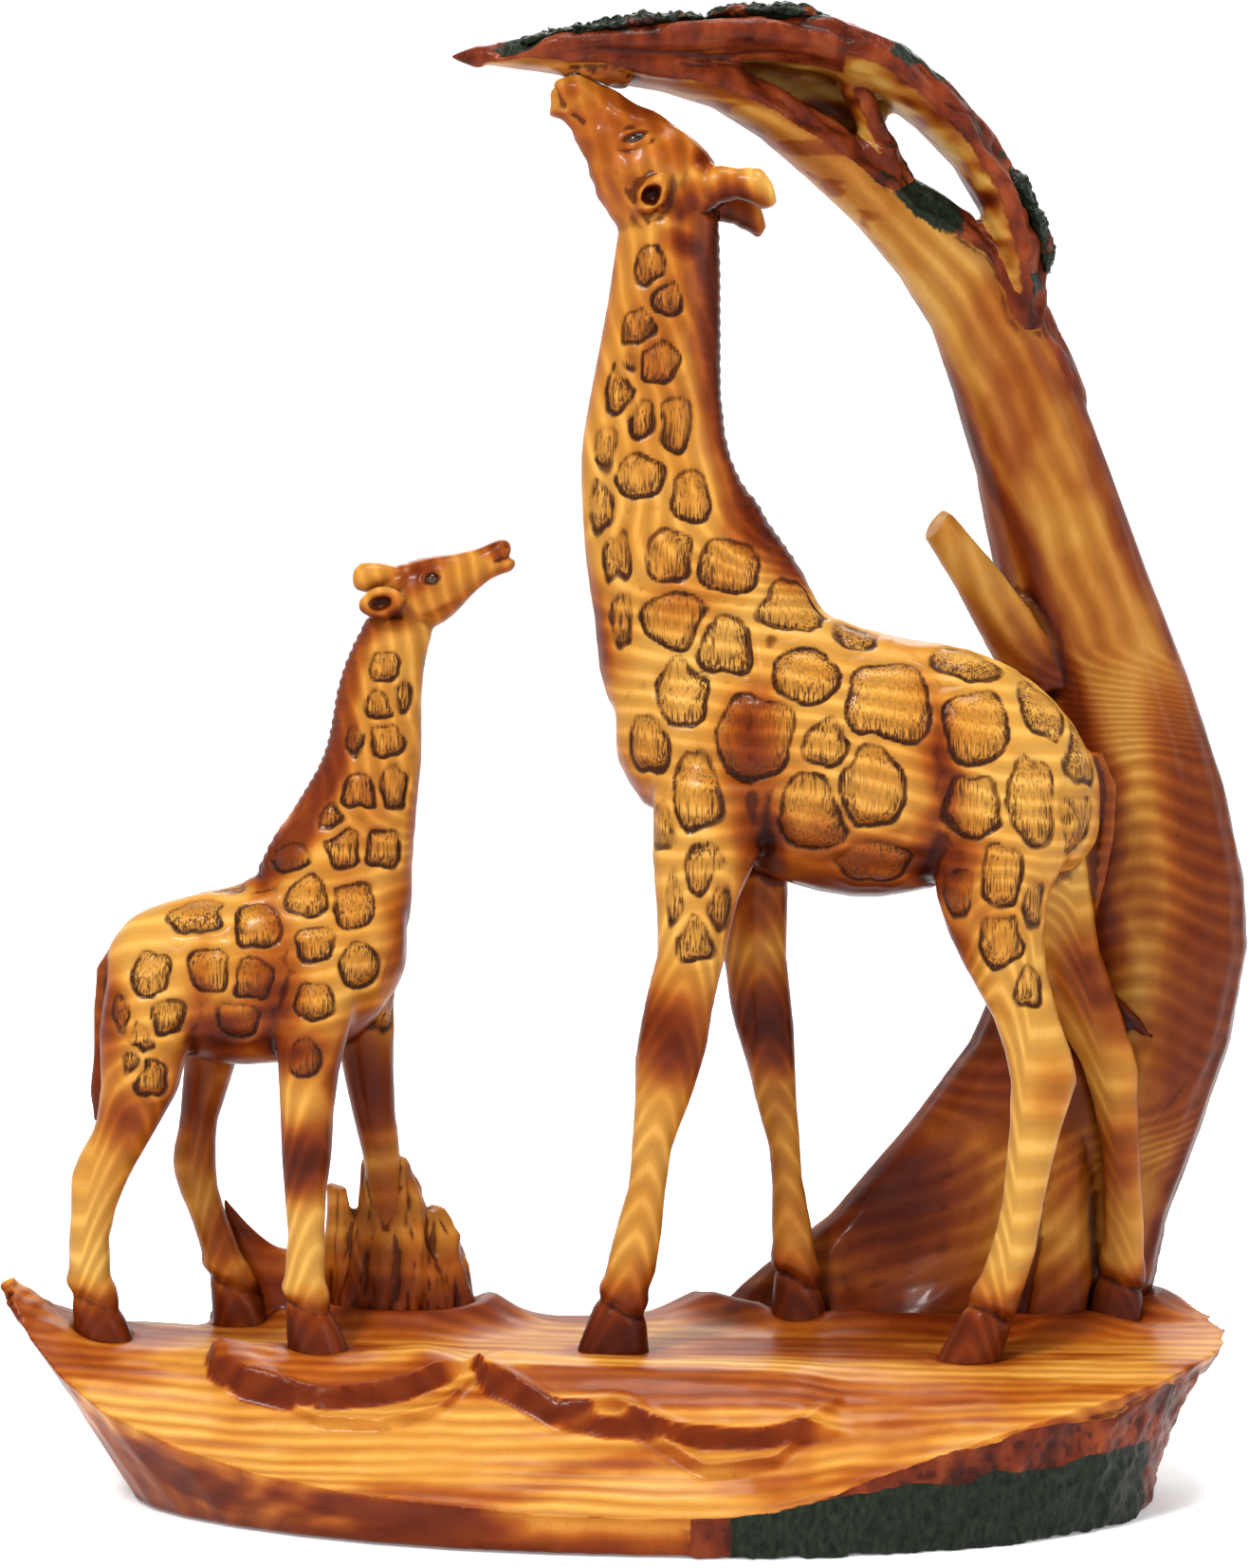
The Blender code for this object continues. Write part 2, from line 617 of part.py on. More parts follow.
COW_LEGS = {
    "front_near": [
        (14.0, -3.0, 126.0, 5.5, 3.5),
        (12.4, -6.6, 116.0, 9.6, 6.4),
        (10.8, -8.8, 104.0, 8.2, 5.6),
        (9.6, -9.6, 96.0, 6.2, 4.8),
        (8.8, -10.0, 89.2, 5.4, 4.4),
        (6.8, -10.0, 82.0, 5.3, 4.2),
        (5.5, -10.0, 74.5, 5.5, 4.4),
        (4.4, -9.8, 67.4, 4.5, 3.8),
        (2.4, -9.6, 58.5, 3.1, 3.0),
        (1.7, -9.4, 52.0, 2.9, 2.8),
        (0.3, -9.2, 45.0, 3.6, 3.2),
        (-1.1, -9.1, 37.8, 3.9, 3.4),
        (-2.2, -9.0, 34.6, 3.5, 3.3),
        (-2.8, -9.0, 32.6, 4.0, 3.7),
        (-4.1, -9.0, 24.0, 6.0, 4.8),
    ],
    "front_far": [
        (16.0, 4.5, 124.0, 5.5, 3.5),
        (16.5, 8.0, 113.0, 9.0, 6.0),
        (18.8, 9.8, 98.0, 6.4, 5.0),
        (19.6, 11.0, 86.0, 5.4, 4.6),
        (20.8, 11.4, 76.0, 5.4, 4.3),
        (23.0, 11.6, 64.2, 3.7, 3.4),
        (24.4, 11.7, 55.0, 2.9, 2.9),
        (25.0, 11.8, 48.0, 3.0, 3.0),
        (25.7, 11.9, 41.0, 3.8, 3.4),
        (26.3, 12.0, 35.0, 3.9, 3.5),
        (26.5, 12.0, 33.0, 4.2, 3.8),
        (26.8, 12.0, 24.6, 5.4, 4.6),
    ],
    "hind_near": [
        (60.0, -2.5, 128.0, 6.5, 4.0),
        (60.6, -5.4, 119.0, 12.0, 7.4),
        (59.0, -7.5, 108.0, 11.8, 7.6),
        (56.6, -9.0, 99.0, 9.4, 6.8),
        (57.0, -9.5, 92.4, 7.9, 5.8),
        (59.2, -9.5, 85.7, 6.6, 5.0),
        (62.0, -9.5, 79.0, 5.6, 4.4),
        (64.0, -9.4, 73.4, 5.7, 4.2),
        (65.0, -9.3, 68.7, 5.7, 4.0),
        (63.8, -9.3, 62.0, 4.6, 3.5),
        (62.6, -9.2, 55.0, 4.0, 3.2),
        (61.6, -9.1, 48.2, 3.7, 3.1),
        (60.2, -9.0, 41.4, 4.0, 3.3),
        (58.4, -9.0, 36.0, 4.2, 3.5),
        (56.6, -9.0, 32.0, 4.6, 3.8),
        (52.4, -9.0, 22.2, 5.9, 4.8),
    ],
    "hind_far": [
        (60.0, 4.5, 124.0, 6.5, 4.0),
        (62.0, 7.5, 112.0, 11.0, 6.8),
        (65.0, 9.5, 100.0, 9.5, 6.2),
        (68.5, 10.6, 88.0, 7.8, 5.4),
        (75.0, 11.4, 75.0, 5.8, 4.5),
        (78.0, 11.6, 68.5, 5.0, 4.1),
        (79.0, 11.8, 62.0, 4.0, 3.6),
        (80.0, 12.0, 55.0, 3.6, 3.3),
        (80.3, 12.2, 48.0, 3.5, 3.2),
        (80.6, 12.3, 41.0, 3.7, 3.4),
        (80.4, 12.4, 35.0, 3.8, 3.5),
        (80.0, 12.5, 32.0, 4.2, 3.8),
        (79.0, 12.5, 23.4, 5.3, 4.6),
    ],
}
COW_TAIL = [
    (73.5, 3.0, 121.0, 2.0, 2.0),
    (76.4, 6.0, 115.0, 2.2, 2.2),
    (76.6, 9.0, 106.5, 2.0, 2.0),
    (75.6, 11.0, 98.5, 1.8, 1.8),
    (74.2, 12.6, 91.5, 1.7, 1.7),
    (74.6, 13.6, 85.0, 2.0, 2.0),
    (77.2, 14.2, 80.0, 2.7, 2.4),
    (81.4, 14.6, 75.8, 2.6, 2.2),
    (84.6, 14.8, 72.6, 1.2, 1.2),
]
CALF_TORSO = [
    (-85.0, 0.0, 86.0, 3.5, 3.5),
    (-81.5, 0.0, 86.0, 8.0, 6.5),
    (-75.3, 0.0, 85.0, 11.6, 9.0),
    (-67.7, 0.0, 84.5, 13.9, 10.3),
    (-58.5, 0.0, 85.7, 15.0, 10.5),
    (-49.3, 0.0, 87.8, 15.5, 10.2),
    (-41.6, 0.0, 91.0, 12.0, 8.5),
    (-37.6, 0.0, 92.0, 6.0, 5.0),
]
CALF_NECK = [
    (-49.5, 0.0, 86.0, 8.0, 5.5),
    (-49.0, 0.0, 94.0, 12.2, 7.8),
    (-48.6, 0.0, 102.0, 12.2, 7.5),
    (-45.8, 0.0, 110.6, 10.0, 6.4),
    (-42.9, 0.0, 118.2, 7.9, 5.6),
    (-41.8, 0.0, 124.4, 7.0, 5.1),
    (-41.3, 0.0, 130.5, 6.5, 4.8),
    (-39.9, 0.0, 136.6, 5.9, 4.5),
    (-37.6, 0.0, 142.5, 5.2, 4.1),
]
CALF_HEAD = [
    (-40.0, 0.0, 143.6, 3.4, 3.0, -60.0),
    (-37.6, 0.0, 144.8, 5.0, 4.1, -62.0),
    (-34.4, 0.0, 146.3, 5.7, 4.5, -63.0),
    (-31.2, 0.0, 147.8, 5.0, 4.1, -65.0),
    (-28.0, 0.0, 149.4, 3.7, 3.2, -67.0),
    (-25.0, 0.0, 150.9, 2.8, 2.5, -68.0),
    (-22.4, 0.0, 152.0, 2.5, 2.3, -68.0),
    (-20.4, 0.0, 152.7, 1.6, 1.6, -68.0),
]
CALF_LEGS = {
    "front_near": [
        (-48.5, -1.5, 97.0, 4.0, 2.8),
        (-49.5, -4.6, 90.0, 7.4, 5.4),
        (-51.4, -7.2, 81.0, 6.4, 5.2),
        (-52.4, -9.0, 71.0, 4.8, 4.4),
        (-52.7, -9.2, 64.0, 4.1, 3.9),
        (-52.8, -9.4, 56.7, 3.9, 3.7),
        (-53.0, -9.5, 52.0, 3.3, 3.2),
        (-52.9, -9.5, 44.5, 2.8, 2.8),
        (-53.2, -9.7, 37.2, 3.1, 3.0),
        (-53.0, -9.8, 33.6, 3.3, 3.1),
        (-52.4, -9.9, 31.4, 3.7, 3.5),
        (-50.6, -10.0, 23.4, 5.2, 4.5),
    ],
    "front_far": [
        (-47.0, 1.5, 95.0, 4.0, 2.8),
        (-45.8, 4.5, 88.0, 6.6, 4.8),
        (-44.9, 7.5, 78.8, 5.1, 4.5),
        (-44.1, 8.6, 68.8, 4.1, 3.9),
        (-43.2, 9.4, 61.0, 3.4, 3.4),
        (-42.2, 10.2, 55.0, 3.0, 3.0),
        (-41.4, 10.8, 48.0, 2.8, 2.8),
        (-40.8, 11.2, 41.0, 2.5, 2.5),
        (-40.4, 11.4, 36.0, 2.3, 2.3),
    ],
    "hind_near": [
        (-76.0, -1.0, 92.0, 4.5, 3.0),
        (-77.0, -3.8, 84.0, 8.2, 5.8),
        (-79.0, -5.8, 76.0, 7.1, 5.4),
        (-79.4, -7.0, 68.0, 6.2, 4.7),
        (-81.8, -7.0, 61.2, 4.8, 4.0),
        (-84.6, -6.9, 56.4, 4.8, 3.6),
        (-86.2, -6.8, 53.0, 4.6, 3.4),
        (-87.2, -6.7, 48.5, 3.6, 3.0),
        (-88.0, -6.5, 43.0, 3.1, 2.8),
        (-88.0, -6.3, 36.6, 3.3, 3.0),
        (-87.6, -6.2, 33.8, 3.4, 3.1),
        (-87.0, -6.1, 31.8, 3.8, 3.5),
        (-85.4, -6.0, 24.6, 4.8, 4.2),
    ],
    "hind_far": [
        (-68.0, 1.5, 90.0, 4.0, 3.0),
        (-67.9, 4.2, 83.0, 6.2, 5.0),
        (-68.9, 6.6, 75.7, 5.1, 4.5),
        (-70.2, 8.2, 68.0, 3.9, 3.8),
        (-72.1, 8.7, 59.0, 2.9, 3.0),
        (-72.8, 8.9, 53.0, 3.5, 3.2),
        (-72.2, 9.1, 48.7, 3.1, 3.0),
        (-70.4, 9.3, 43.6, 2.8, 2.8),
        (-68.7, 9.6, 38.5, 3.0, 2.9),
        (-67.4, 9.8, 34.5, 3.3, 3.1),
        (-66.6, 9.9, 32.4, 3.6, 3.4),
        (-65.0, 10.0, 23.8, 4.8, 4.2),
    ],
}
CALF_TAIL = [
    (-83.4, 0.5, 90.5, 1.4, 1.4),
    (-85.8, 0.5, 86.0, 1.5, 1.5),
    (-86.6, 0.5, 79.0, 1.3, 1.3),
    (-86.4, 0.0, 72.0, 1.5, 1.5),
    (-86.6, -0.5, 66.0, 1.9, 1.9),
    (-87.0, -0.6, 61.0, 0.8, 0.8),
]
# The horns. The ears are drawn on the -Y side, and the far one mirrors the near one in Y.
COW_HORN_NEAR = [
    (9.5, -2.6, 210.6, 2.4, 2.2, 80.0),
    (13.0, -3.4, 211.4, 2.2, 2.1, 88.0),
    (16.0, -3.9, 211.4, 2.1, 2.1, 92.0),
    (18.4, -4.2, 210.9, 2.6, 2.6, 100.0),
    (20.2, -4.3, 210.3, 2.6, 2.6, 104.0),
    (21.4, -4.4, 209.8, 1.6, 1.6, 104.0),
]
COW_HORN_FAR = [
    (9.6, 2.6, 209.8, 2.2, 2.2, 80.0),
    (12.6, 3.8, 209.4, 2.0, 2.0, 90.0),
    (15.0, 4.7, 208.5, 1.9, 1.9, 100.0),
    (16.9, 5.2, 207.5, 2.3, 2.3, 106.0),
    (18.6, 5.5, 206.7, 2.3, 2.3, 108.0),
    (19.7, 5.6, 206.2, 1.4, 1.4, 108.0),
]
CALF_HORN = [
    (-37.0, -1.4, 148.4, 1.5, 1.4, 90.0),
    (-39.5, -1.8, 149.2, 1.3, 1.3, 92.0),
    (-41.8, -2.1, 149.4, 1.5, 1.5, 96.0),
    (-43.6, -2.3, 149.0, 1.9, 1.8, 98.0),
    (-44.8, -2.4, 148.6, 1.1, 1.1, 98.0),
]
COW_EAR = {"centre": (2.4, -6.6, 209.4), "size": (3.4, 2.3, 1.9), "turn": 48.0, "swing": 12.0}
CALF_EAR = {"centre": (-40.6, -5.6, 145.0), "size": (3.8, 2.3, 1.5), "turn": 10.0, "swing": 14.0}
SPRIG = [
    (-12.5, 0.2, 229.6, 1.6, 1.8, 0.0),
    (-8.4, 0.0, 228.9, 2.4, 2.4, 90.0),
    (-4.8, 0.2, 228.6, 2.2, 2.6, 90.0),
    (-1.6, 0.6, 228.4, 1.4, 2.0, 90.0),
]


def make_giraffe(name, torso, neck, head, legs, faces):
    """The body casting, with a socket for the neck's end of the head, and the head."""
    body = loft(name + "_body", torso, "honey_wood", tilt=90.0, sides=20, steps=2)
    neck_solid = loft("neck", neck, sides=16, steps=2, collection=CUTTERS)
    limbs = [loft("leg", stations, sides=12, collection=CUTTERS) for stations in legs.values()]
    join(body, neck_solid, *limbs)
    ease_creases(body, SKIN_VOXEL, SKIN_PASSES, faces)
    skull = loft(name + "_head", head, "honey_wood", sides=14, steps=2)
    cut(body, clearance_of(skull))
    return body, skull


def mirrored(stations):
    return [(x, -y, z, *rest) for x, y, z, *rest in stations]


def room_for_neck(stations):
    form = loft("neck_form", stations, sides=16, steps=2, collection=CUTTERS)
    room = clearance_of(form)
    bpy.data.objects.remove(form, do_unlink=True)
    return room


def make_horns(name, near_stations, far_stations, skull, neck):
    for label, stations in (("near", near_stations), ("far", far_stations)):
        horn = loft(f"{name}_horn_{label}", stations, "honey_wood", sides=10)
        cut(horn, clearance_of(skull), room_for_neck(neck))
        keep_largest(horn)


def ear_solid(name, side, centre, size, turn, swing, scale=1.0, sink=0.0, finish=None):
    """A leaf-shaped ellipsoid. The ear's hollow is a smaller one sunk into its outer face."""
    builder = bmesh.new()
    bmesh.ops.create_uvsphere(builder, u_segments=12, v_segments=8, radius=1.0)
    length, height, thickness = (value * scale for value in size)
    for vertex in builder.verts:
        taper = 1.0 - 0.35 * abs(vertex.co.x) ** 2
        vertex.co = Vector(
            (vertex.co.x * length, vertex.co.y * thickness - sink, vertex.co.z * height * taper)
        )
        vertex.co.rotate(turn_about("Z", -swing))
        vertex.co.rotate(turn_about("Y", -turn))
        vertex.co += Vector(centre)
        vertex.co.y *= side
        vertex.co *= MM
    return object_from_bmesh(name, builder, STATUE if finish else CUTTERS, finish)


def turn_about(axis, degrees):
    return Matrix.Rotation(math.radians(degrees), 3, axis)


def make_ears(name, shape, skull, neck):
    for label, side in (("near", 1.0), ("far", -1.0)):
        ear = ear_solid(f"{name}_ear_{label}", side, finish="honey_wood", **shape)
        cut(ear, clearance_of(skull), room_for_neck(neck))
        keep_largest(ear)
        cut(ear, ear_solid("hollow", side, scale=0.66, sink=1.0, **shape))


def keep_largest(obj):
    """Drops the crumbs that a cut leaves beside a piece."""
    builder = bmesh.new()
    builder.from_mesh(obj.data)
    unseen = set(builder.verts)
    islands = []
    while unseen:
        stack = [unseen.pop()]
        island = set(stack)
        while stack:
            for edge in stack.pop().link_edges:
                for vertex in edge.verts:
                    if vertex in unseen:
                        unseen.remove(vertex)
                        island.add(vertex)
                        stack.append(vertex)
        islands.append(island)
    islands.sort(key=len)
    crumbs = [vertex for island in islands[:-1] for vertex in island]
    bmesh.ops.delete(builder, geom=crumbs, context="VERTS")
    builder.to_mesh(obj.data)
    builder.free()


# ---------------------------------------------------------------- fixings


def hoof_pin(name, hoof, base, body):
    """A wire pin through the bottom of a hoof into the slab, in holes a little wider than it."""
    x, y, z = hoof[:3]
    low, high = z - PIN_IN_BASE, z + PIN_IN_HOOF
    hole = PIN_RADIUS + PIN_CLEARANCE
    for owner in (base, body):
        hole_low, hole_high = low - PIN_CLEARANCE, high + PIN_CLEARANCE
        cut(owner, cylinder("hole", x, y, hole_low, hole_high, hole, collection=CUTTERS, sides=10))
    cylinder(name, x, y, low, high, PIN_RADIUS, "steel_pin", sides=10)


def trunk_dowel(name, x, y, base, trunk):
    """A wooden dowel between the slab and the foot of the trunk."""
    middle = TRUNK[0][2]
    low, high = middle - DOWEL_HALF_LENGTH, middle + DOWEL_HALF_LENGTH
    hole = DOWEL_RADIUS + PIN_CLEARANCE
    for owner in (base, trunk):
        hole_low, hole_high = low - PIN_CLEARANCE, high + PIN_CLEARANCE
        cut(owner, cylinder("hole", x, y, hole_low, hole_high, hole, collection=CUTTERS))
    cylinder(name, x, y, low, high, DOWEL_RADIUS, "raw_dowel")


def main():
    base = make_base_slab()
    trunk = make_tree()
    stump = make_stump()
    cow, cow_head = make_giraffe("cow", COW_TORSO, COW_NECK, COW_HEAD, COW_LEGS, COW_SKIN_TRIANGLES)
    calf, calf_head = make_giraffe(
        "calf", CALF_TORSO, CALF_NECK, CALF_HEAD, CALF_LEGS, CALF_SKIN_TRIANGLES
    )
    make_horns("cow", COW_HORN_NEAR, COW_HORN_FAR, cow_head, COW_NECK)
    make_horns("calf", CALF_HORN, mirrored(CALF_HORN), calf_head, CALF_NECK)
    make_ears("cow", COW_EAR, cow_head, COW_NECK)
    make_ears("calf", CALF_EAR, calf_head, CALF_NECK)

    cow_tail = loft("cow_tail", COW_TAIL, "honey_wood", sides=10)
    tail_room = clearance_of(cow_tail)
    cut(cow_tail, clearance_of(cow))
    keep_largest(cow_tail)
    calf_tail = loft("calf_tail", CALF_TAIL, "red_wood", sides=10)
    cut(calf_tail, clearance_of(calf))
    keep_largest(calf_tail)

    sprig = loft("leaf_sprig", SPRIG, "honey_wood", sides=10)
    cut(sprig, clearance_of(trunk), clearance_of(cow_head))
    keep_largest(sprig)
    cut(base, clearance_of(trunk), clearance_of(stump), clearance_of(cow), clearance_of(calf))
    cut(trunk, clearance_of(cow), tail_room)
    cut(stump, clearance_of(calf))

    for name, legs, body in (("cow", COW_LEGS, cow), ("calf", CALF_LEGS, calf)):
        for leg, stations in legs.items():
            if (name, leg) == ("calf", "front_far"):
                continue
            hoof_pin(f"{name}_pin_{leg}", stations[-1], base, body)
    for side, (x, y) in DOWEL_PLACES.items():
        trunk_dowel(f"trunk_dowel_{side}", x, y, base, trunk)

    pocket_top = FELT_THICKNESS + PIN_CLEARANCE
    pocket = felt_solid("pocket", FELT_INSET - PIN_CLEARANCE, BELOW_SLAB_Z, pocket_top, CUTTERS)
    cut(base, pocket)
    felt_solid("base_felt", FELT_INSET, 0.0, FELT_THICKNESS, STATUE, "felt_green")
    for obj in STATUE.objects:
        obj.data.set_sharp_from_angle(angle=math.radians(SHARP_ANGLE))


clear_scene()
STATUE = new_collection("giraffe_statue")
CUTTERS = new_collection("cutters")
CUTTERS.hide_render = True
MATERIALS = make_materials()
main()
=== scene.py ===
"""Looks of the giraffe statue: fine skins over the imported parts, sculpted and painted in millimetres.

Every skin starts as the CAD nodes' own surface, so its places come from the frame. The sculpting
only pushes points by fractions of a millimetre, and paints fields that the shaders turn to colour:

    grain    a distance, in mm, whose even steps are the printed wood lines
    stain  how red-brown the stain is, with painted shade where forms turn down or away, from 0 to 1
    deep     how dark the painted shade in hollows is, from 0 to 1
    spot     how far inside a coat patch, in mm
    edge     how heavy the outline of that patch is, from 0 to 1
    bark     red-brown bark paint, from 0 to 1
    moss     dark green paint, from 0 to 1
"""

import functools
import math

import bmesh
import bpy
import numpy as np
from mathutils import Matrix, Vector
from mathutils.bvhtree import BVHTree


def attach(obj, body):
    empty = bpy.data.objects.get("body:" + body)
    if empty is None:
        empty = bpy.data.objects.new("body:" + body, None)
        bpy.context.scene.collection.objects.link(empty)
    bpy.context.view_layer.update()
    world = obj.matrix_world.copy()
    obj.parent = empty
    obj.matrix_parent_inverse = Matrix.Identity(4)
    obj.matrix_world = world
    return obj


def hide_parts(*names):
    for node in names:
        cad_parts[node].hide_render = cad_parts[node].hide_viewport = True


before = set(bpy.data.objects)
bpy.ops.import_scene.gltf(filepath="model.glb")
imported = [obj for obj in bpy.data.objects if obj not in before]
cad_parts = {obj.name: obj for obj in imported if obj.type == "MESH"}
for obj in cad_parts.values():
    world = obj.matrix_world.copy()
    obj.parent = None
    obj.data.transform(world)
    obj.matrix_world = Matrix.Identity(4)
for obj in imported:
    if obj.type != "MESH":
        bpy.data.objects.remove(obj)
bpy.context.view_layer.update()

MM = 0.001
# Points closer than this many metres become one.
WELD = 1e-6
# The spot field's value well outside the patches, in mm.
OUTSIDE = -3.0


def put(name, data):
    """A new object in the scene."""
    made = bpy.data.objects.new(name, data)
    bpy.context.scene.collection.objects.link(made)
    return made


# ---------------------------------------------------------------- camera, light and floor

EYE = Vector((-0.002, -0.646, 0.160))
AIM = Vector((-0.002, -0.026, 0.1175))
LENS = 92.3

# Name, place, size, strength in watts.
LIGHTS = [
    ("key", (-0.35, -0.55, 0.75), 0.13, 7.6),
    ("top", (0.10, -0.05, 0.95), 0.30, 6.4),
    ("fill", (0.65, -0.45, 0.35), 0.3, 1.2),
    ("back", (0.0, 0.75, 0.7), 0.6, 4.5),
]
# What the lamps point at.
LIT_POINT = Vector((0.0, 0.0, 0.11))
WORLD_LIGHT = 0.16
FLOOR_GLOW = 0.20


def make_camera():
    data = bpy.data.cameras.new("camera")
    data.lens = LENS
    data.sensor_fit = "VERTICAL"
    data.sensor_height = 36.0
    camera = put("camera", data)
    camera.location = EYE
    camera.rotation_euler = (AIM - EYE).to_track_quat("-Z", "Y").to_euler()
    bpy.context.scene.camera = camera


def make_lights():
    for name, place, size, watts in LIGHTS:
        data = bpy.data.lights.new(name, "AREA")
        data.size = size
        data.energy = watts
        lamp = put(name, data)
        lamp.location = place
        lamp.rotation_euler = (LIT_POINT - Vector(place)).to_track_quat("-Z", "Y").to_euler()
    world = bpy.data.worlds.new("studio")
    world.use_nodes = True
    background = world.node_tree.nodes["Background"]
    background.inputs["Color"].default_value = (1.0, 1.0, 1.0, 1.0)
    background.inputs["Strength"].default_value = WORLD_LIGHT
    bpy.context.scene.world = world


def make_floor():
    """A pale sheet that lies flat under the statue and curves up into a low wall all round."""
    flat, bend, top, turns, steps = 0.95, 0.6, 1.3, 64, 12
    profile = [(flat * step / 4, 0.0) for step in range(1, 5)]
    for step in range(1, steps + 1):
        turn = math.pi / 2 * step / steps
        profile.append((flat + bend * math.sin(turn), bend * (1 - math.cos(turn))))
    profile.append((flat + bend, top))
    builder = bmesh.new()
    middle = builder.verts.new((0.0, 0.0, 0.0))
    angles = [2 * math.pi * turn / turns for turn in range(turns)]
    rings = [
        [builder.verts.new((r * math.cos(a), r * math.sin(a), z)) for a in angles] for r, z in profile
    ]
    for turn in range(turns):
        after = (turn + 1) % turns
        builder.faces.new((middle, rings[0][turn], rings[0][after]))
        for inner, outer in zip(rings, rings[1:]):
            builder.faces.new((inner[turn], outer[turn], outer[after], inner[after]))
    mesh = bpy.data.meshes.new("floor")
    builder.to_mesh(mesh)
    builder.free()
    mesh.shade_smooth()
    floor = put("floor", mesh)
    material = bpy.data.materials.new("white_paper")
    material.use_nodes = True
    shader = material.node_tree.nodes["Principled BSDF"]
    shader.inputs["Base Color"].default_value = (0.95, 0.95, 0.95, 1.0)
    shader.inputs["Roughness"].default_value = 0.7
    shader.inputs["Emission Color"].default_value = (1.0, 1.0, 1.0, 1.0)
    shader.inputs["Emission Strength"].default_value = FLOOR_GLOW
    mesh.materials.append(material)


# ---------------------------------------------------------------- fields over points

LATTICE = np.random.default_rng(7).uniform(-1.0, 1.0, (32, 32, 32))


def noise(points, size, octaves=1):
    """Smooth noise from -1 to 1, with lumps of this size in mm, which may differ by axis."""
    total = np.zeros(len(points))
    for octave in range(octaves):
        scaled = points / size * 2.0**octave + 9.7 * octave
        cell = np.floor(scaled).astype(int)
        part = scaled - cell
        part = part * part * (3 - 2 * part)
        for corner in np.ndindex(2, 2, 2):
            share = np.prod(np.where(corner, part, 1 - part), axis=1)
            x, y, z = ((cell + corner) % 32).T
            total += share * LATTICE[x, y, z] / 2.0**octave
    return total


def ramp(low, high, values):
    """0 below low, 1 above high, and smooth between."""
    t = np.clip((values - low) / (high - low), 0.0, 1.0)
    return t * t * (3 - 2 * t)


def bell(points, centre, radii):
    """1 at the centre, and smoothly less away from it. A radius of np.inf leaves that axis out."""
    return np.exp(-(((points - np.array(centre)) / np.array(radii)) ** 2).sum(axis=1))


def twin_bell(points, centre, radii):
    """The same bell on both sides of the body."""
    x, y, z = centre
    return bell(points, (x, -y, z), radii) + bell(points, (x, y, z), radii)


def hump(values, middle, width):
    """1 at the middle value, and smoothly less to either side."""
    return np.exp(-(((values - middle) / width) ** 2))


def turned_bell(points, x, z, reach_x, reach_z, turn=0.0):
    """A bell in the X-Z plane whose axes are turned by this angle, in degrees."""
    c, s = math.cos(math.radians(turn)), math.sin(math.radians(turn))
    across, up = points[:, 0] - x, points[:, 2] - z
    u, v = (across * c + up * s) / reach_x, (up * c - across * s) / reach_z
    return np.exp(-(u**2) - v**2)


def nearest_on(points, line):
    """Distance to a line through points, and how far along it the nearest place is."""
    line = np.array(line, float)
    best = np.full(len(points), np.inf)
    along = np.zeros(len(points))
    start = 0.0
    for a, b in zip(line, line[1:]):
        step = b - a
        length = np.linalg.norm(step)
        t = np.clip((points - a) @ step / length**2, 0.0, 1.0)
        distance = np.linalg.norm(points - a - t[:, None] * step, axis=1)
        closer = distance < best
        best[closer] = distance[closer]
        along[closer] = start + t[closer] * length
        start += length
    return best, along


def closeness(points, node, near, far):
    """1 where a point is nearer than near to the CAD node's surface, and 0 beyond far."""
    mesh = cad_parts[node].data
    surface = BVHTree.FromPolygons(
        [vertex.co for vertex in mesh.vertices], [face.vertices for face in mesh.polygons]
    )
    away = [surface.find_nearest(Vector(point))[3] for point in points * MM]
    return ramp(far, near, np.array(away) / MM)


# ---------------------------------------------------------------- skins


